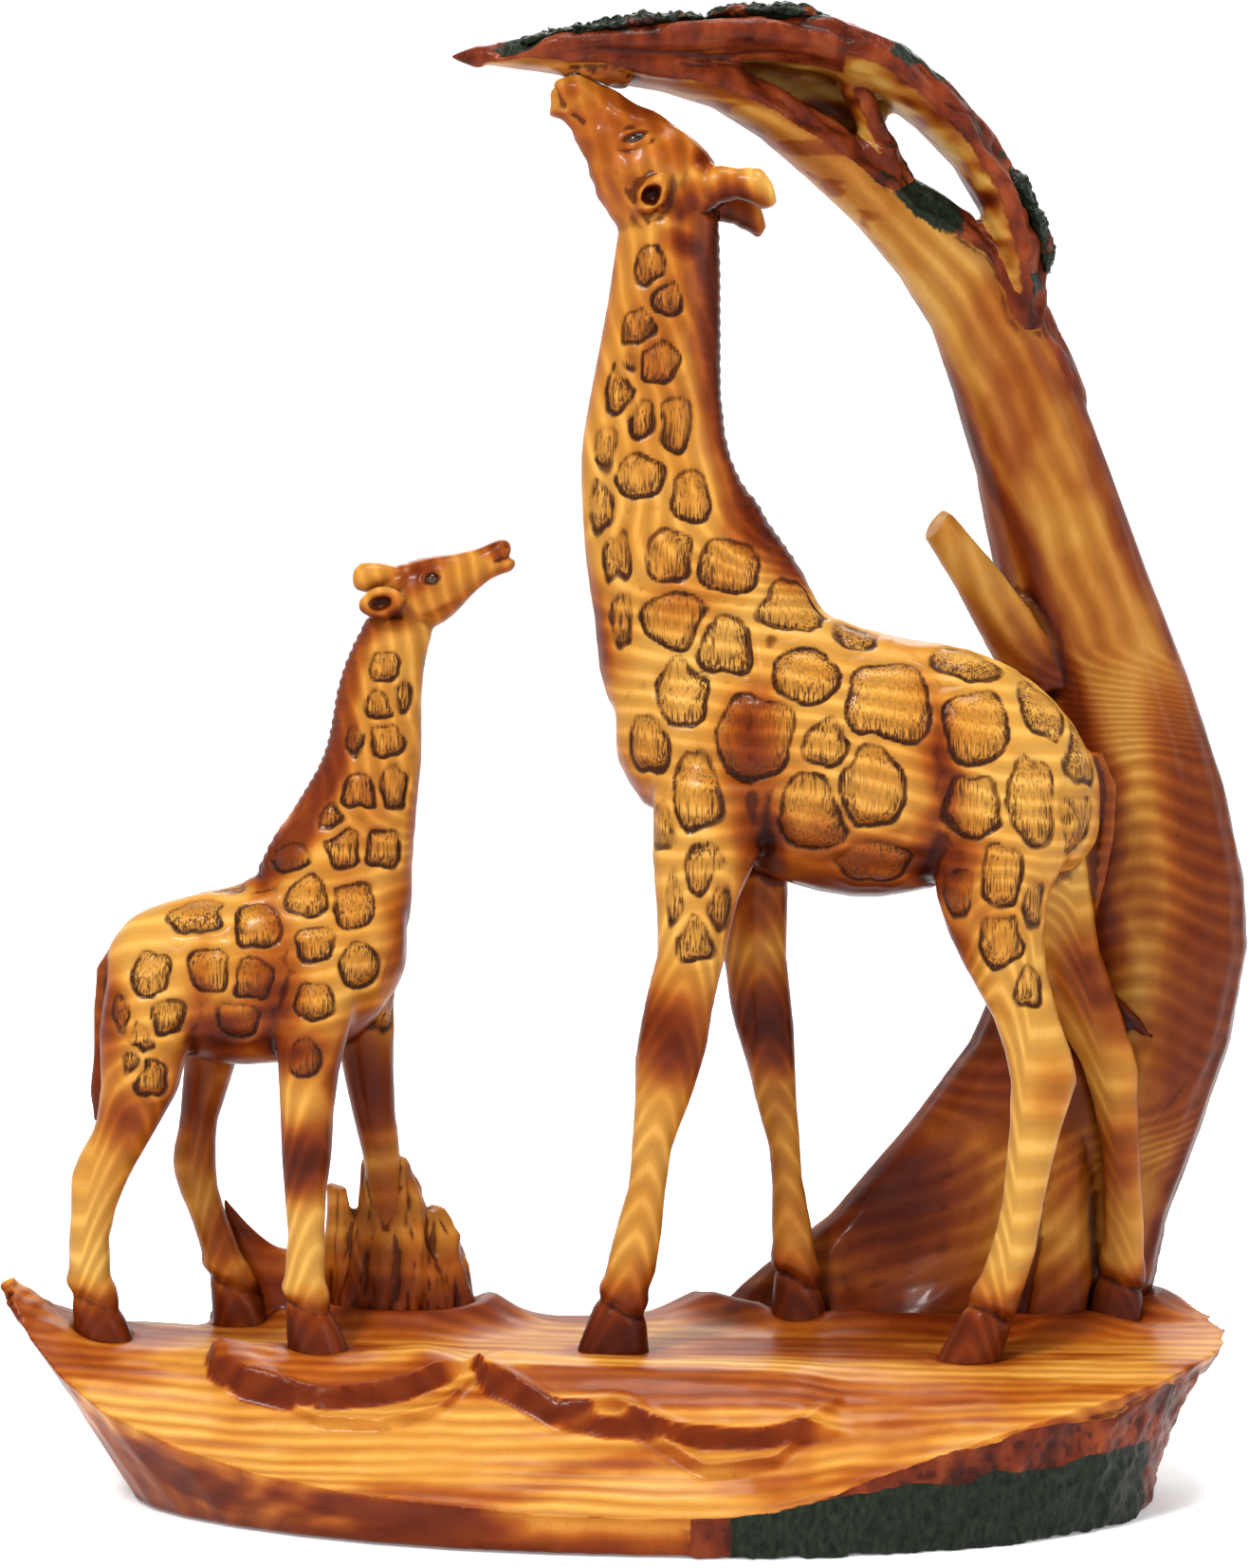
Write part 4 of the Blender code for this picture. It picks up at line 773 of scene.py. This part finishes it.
COW_HOOVES = [(-4, -9, 24), (27, 12, 25), (52.4, -9, 22), (79, 12.5, 23.4)]
COW_HIPS = [(10.8, -8.8, 104), (18.8, 9.8, 98), (59, -7.5, 108), (65, 9.5, 100)]
CALF_HOOVES = [(-50.6, -10, 23.4), (-85.4, -6, 24.6), (-65, 10, 23.8)]
CALF_HIPS = [(-51.4, -7.2, 81), (-79, -5.8, 76), (-68.9, 6.6, 75.7)]


def muscle_lines(skin, folds):
    """Broad soft folds between the muscles: x, z, reach in x, reach in z, turn, height."""
    total = np.zeros(len(skin.co))
    for x, z, reach_x, reach_z, turn, height in folds:
        total += height * turned_bell(skin.co, x, z, reach_x, reach_z, turn)
    skin.push(total * ramp(0.15, 0.6, np.abs(skin.normals[:, 1])))


def comb_mane(skin, line, width, height, pitch):
    """A low crest along the nape with fine slanting hatch across it."""
    away, along = nearest_on(skin.co[:, [0, 2]], line)
    on_crest = ramp(width, 0.4 * width, away) * ramp(6.5, 2.5, np.abs(skin.co[:, 1] - 0.8))
    hatch = np.sin(2 * math.pi * (along + 0.35 * away) / pitch)
    skin.push(on_crest * (height + 0.12 * hatch))
    return on_crest


def shade_and_cloud_stain(skin):
    """Painted shade where a form turns down or away to the side, and extra stain in slow cloudy patches."""
    across, up = np.abs(skin.normals[:, 1]), skin.normals[:, 2]
    cloud = 0.16 * noise(skin.co, 14, 2)
    return 0.04 + cloud + 0.22 * ramp(0.1, -0.8, up) + 0.14 * ramp(0.75, 0.2, across) * ramp(0.6, 0, up)


def dress_giraffe(skin, stain, mane, ears, legs, flames, neck, streaks, layers):
    """Stain with painted shade where forms turn down or away, painted shade in the hollows, ears and upper
    lids, and grain, which climbs the legs in flames and runs along the neck.
    """
    # The glaze term adds painted shade on forms that turn down or away, and cloudy stain.
    skin.fields["stain"] = np.clip(stain + 0.12 * mane + shade_and_cloud_stain(skin), 0, 1)
    skin.fields["deep"] = np.clip(skin.fields["deep"] + 0.8 * skin.fields.pop("lid_shade") + ears, 0, 1)
    skin.fields["grain"] = legs * flames + (1 - legs) * (neck * streaks + (1 - neck) * layers)
    skin.piece(GIRAFFE_PAINT, "wood_finish_honey")


def ear_hollow_shade(skin, x, y, z, reach):
    """1 in the hollow of each ear, where shade is painted."""
    near = np.maximum(*(bell(skin.co, (x, side * y, z), reach) for side in (-1, 1)))
    return ramp(0.2, 0.5, near) * ramp(0.05, 0.4, skin.hollows(14))


def make_cow():
    skin = Skin(
        "cow_figure",
        ["cow_body", "cow_head", "cow_ear_near", "cow_ear_far", "cow_horn_near", "cow_horn_far", "cow_tail"],
        voxel=0.52, grow=0.28, passes=80,
    )
    muscle_lines(skin, [
        (19, 118, 3, 14, 5, -0.9), (49, 113, 2.6, 14, 5, -0.8),
        (12, 118, 6, 10, 0, 0.6), (58, 112, 7, 12, 0, 0.5),
        (8, 130, 8, 3, -20, -0.4), (5, 74, 4, 4.5, 0, 0.35),
    ])
    mane = comb_mane(skin, COW_NAPE, 5, 0.35, 1.9)
    sculpt_cow_face(skin)
    carve_hooves(skin, COW_HOOVES, 33)
    lay_coat(skin, COW_PATCHES)
    skin.settle(2)

    stain = stains_of(skin, COW_STAINS, COW_NAPE, 6, 0.78)
    height = skin.co[:, 2]
    feet = ramp(43, 29, height + 1.6 * noise(skin.co, 4, 2))
    tail = closeness(skin.co, "cow_tail", 0.6, 1.4)
    tuft = ramp(90, 82, height) * tail
    # Painted shade in the ear hollows, both in the stain and in the shade of the hollows.
    ears = ear_hollow_shade(skin, 2.4, 7.4, 209.4, (4, 3, 4))
    stain = np.maximum.reduce([stain, 0.82 * feet, 0.55 * tail, 0.95 * tuft, 0.9 * ears])
    flames, legs = leg_lines(skin, COW_HOOVES, COW_HIPS, 100)
    warp = noise(skin.co, (30, 20, 12), 2)
    layers = height + 0.14 * skin.co[:, 0] + 1.6 * warp
    streaks = 1.1 * (skin.co[:, 0] - 5) + 0.25 * (height - 152) + 152.0 + 1.2 * warp
    neck = ramp(143, 162, height)
    dress_giraffe(skin, stain, mane, ears, legs, flames, neck, streaks, layers)


def sculpt_cow_face(skin):
    """Brow, nose ridge, cheek, jaw, nostril and lips, with thicker horns and ears."""
    away, _ = nearest_on(skin.co, [(11, -3.2, 211), (18, -4.2, 211), (20.6, -4.4, 210.2)])
    skin.push(0.85 * ramp(4.5, 2.6, away))
    away, _ = nearest_on(skin.co, [(12, 4.2, 208.6), (18.4, 5.4, 206.4)])
    skin.push(1.1 * ramp(4.5, 2.6, away))
    skin.push(0.4 * hump(skin.co[:, 0], 19.6, 1.2) - 0.5 * ramp(12, 16, skin.co[:, 0]))
    dab(skin, (2, 4.2, 221.2), (2.6, 1.8, 1.3), 0.7)
    dab(skin, (-2.6, 3.8, 221.9), (2.4, 1.6, 1), 0.35)
    dab(skin, (-1.2, 4.6, 216.8), (2.6, 1.8, 1.3), -0.4)
    dab(skin, (2.8, 5, 213.8), (3, 2.5, 2.2), 0.45)
    dab(skin, (-2.2, 4.6, 212), (2.6, 2.4, 3), 0.4)
    dab(skin, (-6.8, 2.8, 221.2), (2.8, 1.8, 1.6), -0.45)
    dab(skin, (-13, 1.2, 227.2), (1.5, 1.8, 1.6), 0.9)
    dab(skin, (-12.8, 0.8, 223.2), (1.3, 1.8, 1.2), 0.8)
    draw_line(skin, [(-13, 226.6), (-12.5, 225), (-11.8, 223.6)], 0.5, 0.9)
    draw_line(skin, [(-10.2, 222.2), (-8.8, 221.2)], 0.5, 0.4)
    draw_line(skin, [(-2.5, 221.8), (-6, 224.4), (-9.4, 226.8)], 0.9, -0.4)
    draw_line(skin, [(-4.6, 214.5), (-2.4, 210), (1.2, 206), (4.6, 204.2)], 1, -0.35)
    draw_line(skin, [(-3.4, 213), (-1.4, 209.4), (1.9, 205.2)], 0.6, 0.3)
    tuft = twin_bell(skin.co, (4.2, 6.6, 206.4), (1.8, 2.4, 2.2))
    skin.push(tuft * (0.9 + 0.9 * noise(skin.co, 1.3, 2)))
    dab(skin, (-0.6, 4.6, 220.9), (2.4, 1.8, 0.7), 0.4)
    face = ramp(202, 212, skin.co[:, 2]) * ramp(12, 5, skin.co[:, 0])
    skin.push(face * 0.4 * noise(skin.co, 3.6, 2))
    carve_eye(skin, "cow_eye", -0.4, 219.6, 1.9, 0.75, 200, 0)


def make_calf():
    skin = Skin(
        "calf_figure",
        ["calf_body", "calf_head", "calf_ear_near", "calf_ear_far", "calf_horn_near", "calf_horn_far",
         "calf_tail", "tree_stump"],
        voxel=0.44, grow=0.28, passes=80,
    )
    muscle_lines(skin, [
        (-56, 86, 2.4, 9, 0, -0.6), (-70, 82, 2.4, 9, 0, -0.5),
        (-51, 84, 5, 7, 0, 0.4),
    ])
    mane = comb_mane(skin, CALF_NAPE, 3.4, 0.3, 1.6)
    dab(skin, (-31, 3, 152.4), (2.2, 1.4, 0.8), 0.4)
    dab(skin, (-21.6, 1.4, 154), (1.6, 1.6, 1.2), 0.9)
    dab(skin, (-21, 0.8, 151), (1.4, 1.6, 1.2), 0.5)
    dab(skin, (-20.6, 1.4, 154), (0.5, 0.8, 0.5), -0.7)
    draw_line(skin, [(-20, 152.4), (-22.4, 151.6)], 0.45, 0.5)
    away, _ = nearest_on(skin.co, [(-39, -1.8, 149.2), (-43.6, -2.3, 149)])
    skin.push(0.55 * ramp(3.2, 1.8, away))
    ears = twin_bell(skin.co, (-41, 6, 145), (5, 2.4, 3.4))
    skin.push(0.55 * ears * ramp(0.3, -0.3, skin.hollows(14)))
    draw_line(skin, [(-30, 145.4), (-33.6, 143.8), (-36.6, 142.6)], 0.8, -0.3)
    carve_eye(skin, "calf_eye", -32.6, 149.9, 1.3, 1, 22, -0.05)
    stump = closeness(skin.co, "tree_stump", 0.8, 1.8)
    ribs = noise(skin.co + [0, 0, 30], (3, 3, 26), 2) + 0.6 * noise(skin.co, (1.4, 1.4, 9), 2)
    skin.push(stump * (0.3 + 0.9 * ribs))
    carve_hooves(skin, CALF_HOOVES, 32)
    lay_coat(skin, CALF_PATCHES)
    skin.settle(1)

    stain = stains_of(skin, CALF_STAINS, CALF_NAPE, 3.4, 0.70)
    height = skin.co[:, 2]
    feet = ramp(40, 29, height + 1.4 * noise(skin.co, 4, 2))
    tail = closeness(skin.co, "calf_tail", 0.5, 1.2)
    # Painted shade in the ear hollows, both in the stain and in the shade of the hollows.
    ears = ear_hollow_shade(skin, -40.6, 6.2, 145, (4.4, 3, 3))
    legs_stain = 0.82 * feet * (1 - stump)
    foot = stump * (0.42 + 0.45 * ramp(40, 26, height + 3.0 * noise(skin.co, 7, 2)))
    stain = np.maximum.reduce([stain, legs_stain, foot, 0.75 * tail, 0.9 * ears])
    flames, legs = leg_lines(skin, CALF_HOOVES, CALF_HIPS, 72)
    warp = noise(skin.co, (24, 16, 10), 2)
    layers = height - 0.12 * skin.co[:, 0] + 1.6 * warp
    streaks = 1.2 * (skin.co[:, 0] + 45) + 0.3 * (height - 109) + 114.4 + 1.2 * warp
    neck = ramp(102, 117, height)
    dress_giraffe(skin, stain, mane, ears, legs, flames + 7, neck, streaks, layers)


# ---------------------------------------------------------------- tree

TREE_CENTRE = (8, 128)


class Round:
    """Polar places about the middle of the arch: angle in degrees, and how far across the trunk.

    share is -1 on the trunk's inner edge and 1 on its outer one.
    """

    def __init__(self, points, on_trunk):
        x, z = points[:, 0] - TREE_CENTRE[0], points[:, 2] - TREE_CENTRE[1]
        self.angle = np.degrees(np.arctan2(z, x))
        self.radius = np.hypot(x, z)
        self.out = np.stack([x, 0.0 * x, z], axis=1) / self.radius[:, None]
        stops = np.arange(-70.0, 131.0, 5.0)
        middle, half = [], []
        for stop in stops:
            here = self.radius[on_trunk & (np.abs(self.angle - stop) < 4)]
            inner, outer = (here.min(), here.max()) if len(here) else (60, 90)
            middle.append((inner + outer) / 2)
            half.append((outer - inner) / 2)
        self.across = self.radius - np.interp(self.angle, stops, middle)
        self.share = self.across / np.interp(self.angle, stops, half)


# Where the bark starts across the trunk, from its point on the right edge over to the bough's tip.
BARK_ANGLES = (28, 35, 43, 50, 60, 75, 100, 130)
BARK_STARTS = (1.3, 1, 0.72, 0.68, 0.42, 0.22, 0.10, 0)
# The middle of the thin wall that closes the cavity under the crest.
CAVITY = [
    (8, 11.5, 231), (15, 13, 229.8), (24, 15, 227), (32, 16.5, 223), (37, 17.5, 219.6),
]
# Height and share of the dark red streak that wanders down the trunk.
STREAK_HEIGHTS = (60, 110, 150, 190)
STREAK_SHARES = (-0.30, -0.38, -0.55, -1)
# The slanting break at the stub's end: a point on it, and its outward direction.
STUB_CUT = (np.array((46.0, 25.0, 159.6)), np.array((-0.80, -0.25, 0.545)))


def sharpen_tip(skin):
    """Draws the bough's blunt end down to a point."""
    tip = ramp(-19, -21, skin.co[:, 0]) * ramp(200, 210, skin.co[:, 2])
    middle = skin.co[(skin.co[:, 0] < -24.0) & (tip > 0.5)].mean(axis=0)
    away = skin.co[:, 1:] - middle[1:]
    limit = 0.3 + 0.40 * np.clip(skin.co[:, 0] + 29.4, 0, 99)
    shrink = np.minimum(1.0, limit / np.maximum(np.linalg.norm(away, axis=1), 0.01))
    skin.co[:, 1:] -= away * (tip * (1.0 - shrink))[:, None]


def make_tree():
    skin = Skin(
        "tree_figure",
        ["tree_trunk", "tree_crest", "branch_stub", "leaf_sprig"],
        voxel=0.6, grow=0.28, passes=90,
    )
    skin.fill(closeness(skin.co, "cow_tail", 2, 5), 160)
    skin.measure()
    seam = closeness(skin.co, "tree_crest", 1, 2) * closeness(skin.co, "tree_trunk", 1, 2)
    skin.fill(seam, 14)
    skin.measure()
    crest = ramp(0.35, 0.65, skin.blur(closeness(skin.co, "tree_crest", 0.8, 1.6), 8))
    stub = closeness(skin.co, "branch_stub", 0.8, 1.6)
    beyond = (skin.co - STUB_CUT[0]) @ STUB_CUT[1]
    skin.co -= (stub * np.maximum(beyond, 0))[:, None] * STUB_CUT[1]
    skin.measure()
    sprig = closeness(skin.co, "leaf_sprig", 0.6, 1.2)
    around = Round(skin.co, closeness(skin.co, "tree_trunk", 0.6, 0.7) > 0.5)
    x, y, height = skin.co.T
    wavy = noise(skin.co, 12, 3)
    start = np.interp(around.angle, BARK_ANGLES, BARK_STARTS)
    facing_in = ramp(-0.10, -0.45, (skin.normals * around.out).sum(axis=1))
    bark = np.maximum(ramp(-0.05, 0.05, around.share - start + 0.14 * wavy), crest)
    wall, _ = nearest_on(skin.co, CAVITY)
    wall = ramp(9, 7, wall) * ramp(7, 9.5, y) * ramp(-0.35, -0.6, skin.normals[:, 1]) * crest
    beside_window = np.maximum(ramp(2, 6, y), ramp(30, 36, x))
    bare = np.maximum(0.95 * facing_in * beside_window, wall) * crest
    bark = bark * ramp(150, 165, height) * (1 - bare) * (1 - stub)

    flow = np.stack([around.radius, y, around.angle * 1.6], axis=1)
    furrows = 1.0 - 2.0 * np.abs(noise(flow, (3.2, 3.2, 34), 2))
    fibre = noise(flow, (1.5, 1.5, 20), 2)
    flutes = noise(flow, (9, 9, 60), 1)
    thick = skin.blur(bark, 5)
    skin.push(thick * (0.45 + 0.75 * furrows + 0.25 * fibre) + (1 - thick) * (0.08 * fibre + 0.35 * flutes))
    skin.push(sprig * 0.5 * noise(skin.co, 1.8, 2))
    sharpen_tip(skin)
    skin.settle(1)
    skin.fields["deep"] *= (1.0 - 0.85 * bare) * (1.0 - 0.9 * seam)

    outer = ramp(0.35, 0.95, around.share + 0.16 * wavy)
    inner = ramp(-0.62, -0.95, around.share + 0.10 * wavy)
    lane = np.interp(height, STREAK_HEIGHTS, STREAK_SHARES)
    streak = np.exp(-(((around.share - lane + 0.08 * wavy) / 0.24) ** 2)) * ramp(46, 66, height)
    streak = streak * ramp(196, 178, height)
    bowl = turned_bell(skin.co, 42, 46, 19, 21) * ramp(26, 22, y)
    low = ramp(48, 26, height)
    trunk = 1 - stub
    belly = ramp(44, 62, height) * ramp(150, 118, height)
    # A painted sheen: the stain on the belly is lighter down the front of the bulge.
    sheen = np.exp(-(((x - 84.0 + 0.12 * np.abs(height - 95)) / 4.5) ** 2))
    stain = np.maximum.reduce([
        0.30 + 0.2 * wavy, 0.85 * outer, 0.72 * inner, 0.88 * streak,
        0.72 * belly * (1 - 0.75 * sheen), 0.97 * bowl, 0.78 * low, 0.5 * sprig,
        1.05 * belly * ramp(0.84, 0.97, around.share),
    ])
    streaky = ramp(0, 0.45, noise(skin.co, (16, 4, 2.2), 2)) * ramp(46, 34, x)
    stain = np.maximum(stain, 0.62 * streaky)
    stain = stain * trunk + stub * (0.34 + 0.3 * wavy + 0.4 * ramp(146, 132, height))
    stain = stain * (1 - bare) + bare * (0.34 + 0.55 * noise(skin.co, (7, 4, 2.5), 2))
    skin.fields["stain"] = np.clip(stain, 0, 1)
    skin.fields["bark"] = np.clip(bark, 0, 1)
    patch = turned_bell(skin.co, 46.5, 210.5, 8.5, 3.6, -42) * 1.3 * ramp(0.3, -0.2, skin.normals[:, 1])
    crust = ramp(0.25, 0.8, (skin.normals * around.out).sum(axis=1) + 0.35 * wavy) * crest
    skin.fields["moss"] = np.maximum(patch * (1 - crest), crust * (0.45 + 1.1 * noise(skin.co, 9, 2)))
    bulge = ramp(48, 66, height) * ramp(138, 118, height)
    shift = np.where(height > 92.0, 179.0, 80.0)
    grain_along = around.across + 0.06 * around.angle + 0.3 * wavy + shift
    slow = 3.0 * noise(skin.co, (30, 30, 70), 2)
    grain_along += slow
    bands = 1.05 * height - 5.0 * hump(x, 84, 9) + slow
    skin.fields["grain"] = bulge * bands + (1 - bulge) * grain_along
    skin.piece(TREE_PAINT, "wood_finish_red")


def make_foliage():
    """Crumbly crusts of leaves, grown into the crest and into each other."""
    for node, count in (
        ("foliage_tip", 420), ("foliage_crown", 420), ("foliage_shoulder", 320), ("foliage_heel", 240)
    ):
        skin = Skin(
            node + "_leaves", [node], voxel=0.34, grow=0.5, passes=1, swell=0.1, lumps=(count, 0.35, 1)
        )
        crumbs = 1.0 - 2.0 * np.abs(noise(skin.co, 1.9, 2))
        skin.push(0.30 * crumbs + 0.5 * noise(skin.co, (5, 4, 5), 2))
        skin.settle(1)
        zero = np.zeros(len(skin.co))
        patchy = 0.9 + 0.6 * noise(skin.co, 4.5, 2)
        skin.fields.update(stain=zero + 0.9, grain=zero, bark=zero + 1, moss=np.clip(patchy, 0, 1))
        skin.piece(TREE_PAINT, "leaf_paint")


# ---------------------------------------------------------------- base

# The front edges of the carved steps, x and y, how far each rises beyond the CAD's layer, and how
# strong the stain behind the edge is.
STEPS = [
    ([(-69, -10.5), (-67, -16), (-62, -20), (-49, -22.5), (-36, -21.5), (-24, -17)], 2.3, 0.8),
    ([(-27, -16.5), (-23, -22.5), (-14, -27), (2, -30), (16, -31.3), (34, -31)], 1.8, 0.3),
]

# What grows out of the slab without a break, how far round it the slab rises, and how high, in mm.
ROOTED = ["tree_trunk", "tree_stump"]
ROOT_REACH = 14.0
ROOT_RISE = 3.8
# How often the pits that the hooves and roots stand in are smoothed to close them.
PIT_PASSES = 130


def behind_edge(points, line):
    """How far behind a step's front edge each point lies, and a share that fades at its ends."""
    away, along = nearest_on(points[:, :2], line)
    xs, ys = np.array(line).T
    side = np.sign(points[:, 1] - np.interp(points[:, 0], xs, ys))
    length = along.max()
    return side * away, ramp(0, 3, along) * ramp(length, length - 9, along)


def make_base():
    skin = Skin("base_figure", ["base_slab"], voxel=0.62, grow=0.28, passes=24)
    x, y, height = skin.co.T
    level = ramp(0.25, 0.6, skin.blur(skin.normals[:, 2], 40))
    warp = noise(skin.co, (60, 16, 14), 2)
    flow = y + 0.9 * height + 0.05 * x + 2.5 * warp
    skin.push(level * (0.05 * np.sin(flow * 1.1) + 0.10 * noise(skin.co, (28, 3, 3), 2)))
    joins = np.zeros(len(skin.co))
    for hx, hy, _ in COW_HOOVES + CALF_HOOVES:
        joins = np.maximum(joins, ramp(8.5, 5, np.hypot(x - hx, y - hy)))
    pits = np.maximum.reduce([joins] + [closeness(skin.co, node, 0.5, 3) for node in ROOTED])
    skin.fill(pits * ramp(15, 18, height), PIT_PASSES)
    roots = np.maximum(*(closeness(skin.co, node, 0.3, ROOT_REACH) for node in ROOTED))
    skin.co[:, 2] += 0.7 * level * joins + ROOT_RISE * ramp(12, 18, height) * roots ** 2
    faces = np.zeros(len(skin.co))
    wander = 0.5 * noise(skin.co, (6, 6, 60), 2)
    for line, rise, glow in STEPS:
        behind, ends = behind_edge(skin.co, line)
        behind = behind + wander
        lift = ramp(-0.45, 0.25, behind) * ramp(20, 0.5, behind)
        dip = ramp(-0.2, -0.7, behind) * ramp(-12, -1, behind)
        skin.co[:, 2] += level * ends * rise * (lift - 0.3 * dip)
        face = ramp(-1.3, -0.6, behind) * ramp(0.8, 0.2, behind)
        tint = glow * ramp(-1, 0, behind) * ramp(8, 0, behind)
        faces = np.maximum(faces, level * ends * np.maximum(face, tint))
    tip = bell(skin.co, (-100, -4, 33), (7, 6, 6))
    skin.measure()
    skin.push(tip * (1.1 + 0.7 * noise(skin.co, 3, 2)))

    steep = ramp(0.75, 0.3, skin.normals[:, 2])
    border = 9.5 + 0.17 * np.clip(x - 12, 0, 90) + 1.2 * noise(skin.co, (9, 9, 30), 3)
    bark = ramp(9, 12, x + 3.0 * noise(skin.co, 6)) * ramp(0.4, -0.8, height - border) * steep
    top = 8.2 + 0.08 * np.clip(x - 12, 0, 90) + 0.8 * noise(skin.co, 5, 2)
    moss = ramp(-2, -10, y) * ramp(13, 16, x + noise(skin.co, 4))
    moss = moss * ramp(0.3, -0.5, height - top) * ramp(84, 77, x) * bark
    crumbs = 0.6 - np.abs(noise(skin.co, 1.8, 3))
    skin.push(bark * (0.35 + 0.6 * noise(skin.co, 3.4, 3)) + moss * 0.4 * crumbs)
    skin.relax(1)
    skin.co[:, 2] = np.maximum(skin.co[:, 2], 0.1)
    skin.measure()
    skin.shade_hollows()
    skin.fields["deep"] *= 1.0 - 0.8 * level

    sides = ramp(0.55, 0.1, skin.normals[:, 2])
    drop = ramp(10, 0, height + 1.2 * noise(skin.co, 12, 2))
    bands = np.clip(0.34 + 0.55 * noise(skin.co, (34, 8, 6), 3), 0.12, 0.62)
    left = sides * ramp(-58, -74, x) * ramp(22, 10, height)
    root = bell(skin.co, (-62, 14, 36), (9, 7, 12)) * ramp(27, 30, height)
    shade = bell(skin.co, (56, 12, 26), (42, 16, 14))
    rim = bell(skin.co, (-53, -17, 22), (16, 6, 12)) * level
    # The stain grows towards the bottom of the sides; steeper faces take a painted shade, and shade is a
    # painted shade near the tree's foot.
    stain = np.maximum.reduce([
        bands, 0.78 * drop * sides, 0.85 * faces, 0.68 * left, 0.75 * root, 0.9 * shade, 0.6 * rim,
        0.8 * np.sqrt(roots) * level, bands + 0.22 * ramp(0.85, 0.4, skin.normals[:, 2]),
    ])
    for hx, hy, _ in COW_HOOVES + CALF_HOOVES:
        stain = np.maximum(stain, 0.82 * bell(skin.co, (hx + 1.5, hy, 25), (12.5, 7.5, 12)))
    skin.fields["stain"] = stain
    skin.fields["grain"] = flow
    skin.fields["bark"], skin.fields["moss"] = bark, moss
    skin.piece(BASE_PAINT, "wood_finish_honey")


# ---------------------------------------------------------------- carried-over pieces


def dress_fixings():
    felt = Paint("felt_cloth", roughness=0.95)
    fuzz = felt.noise((0.25, 0.25, 0.25), detail=3.0)
    felt.set("Base Color", felt.colours(fuzz, [(0.3, (0.010, 0.03, 0.016)), (0.7, (0.03, 0.07, 0.04))]))
    felt.bump(fuzz, 0.8, 0.3)
    steel = Paint("pin_steel", roughness=0.3)
    steel.set("Metallic", 1.0)
    drawn = steel.noise((0.1, 0.1, 4.0))
    steel.set("Base Color", steel.colours(drawn, [(0.3, (0.35, 0.35, 0.36)), (0.7, (0.6, 0.6, 0.6))]))
    beech = Paint("beech_dowel", roughness=0.7)
    rays = beech.noise((0.3, 0.3, 5.0))
    beech.set("Base Color", beech.colours(rays, [(0.3, (0.42, 0.25, 0.12)), (0.7, (0.65, 0.45, 0.26))]))
    finishes = {"base_felt": felt, "cow_pin": steel, "calf_pin": steel, "trunk_dowel": beech}
    for name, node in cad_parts.items():
        for start, paint in finishes.items():
            if name.startswith(start):
                node.data.materials.clear()
                node.data.materials.append(paint.material)


bpy.context.scene.view_settings.view_transform = "Standard"
make_camera()
make_lights()
make_floor()
GIRAFFE_PAINT = wood_paint(
    "giraffe_coat", 3.2, linear(0.77, 0.60, 0.30), linear(0.69, 0.50, 0.21), linear(0.62, 0.46, 0.21),
    coat_pattern=True,
)
TREE_PAINT = wood_paint(
    "tree_wood", 4.0, linear(0.69, 0.54, 0.28), linear(0.62, 0.45, 0.20), linear(0.55, 0.38, 0.16),
    crust=True,
)
BASE_PAINT = wood_paint(
    "base_wood", 3.6, linear(0.80, 0.62, 0.31), linear(0.73, 0.53, 0.23), linear(0.64, 0.43, 0.17),
    crust=True,
)
EYE_PAINT = eye_paint()
make_cow()
make_calf()
make_tree()
make_foliage()
make_base()
dress_fixings()
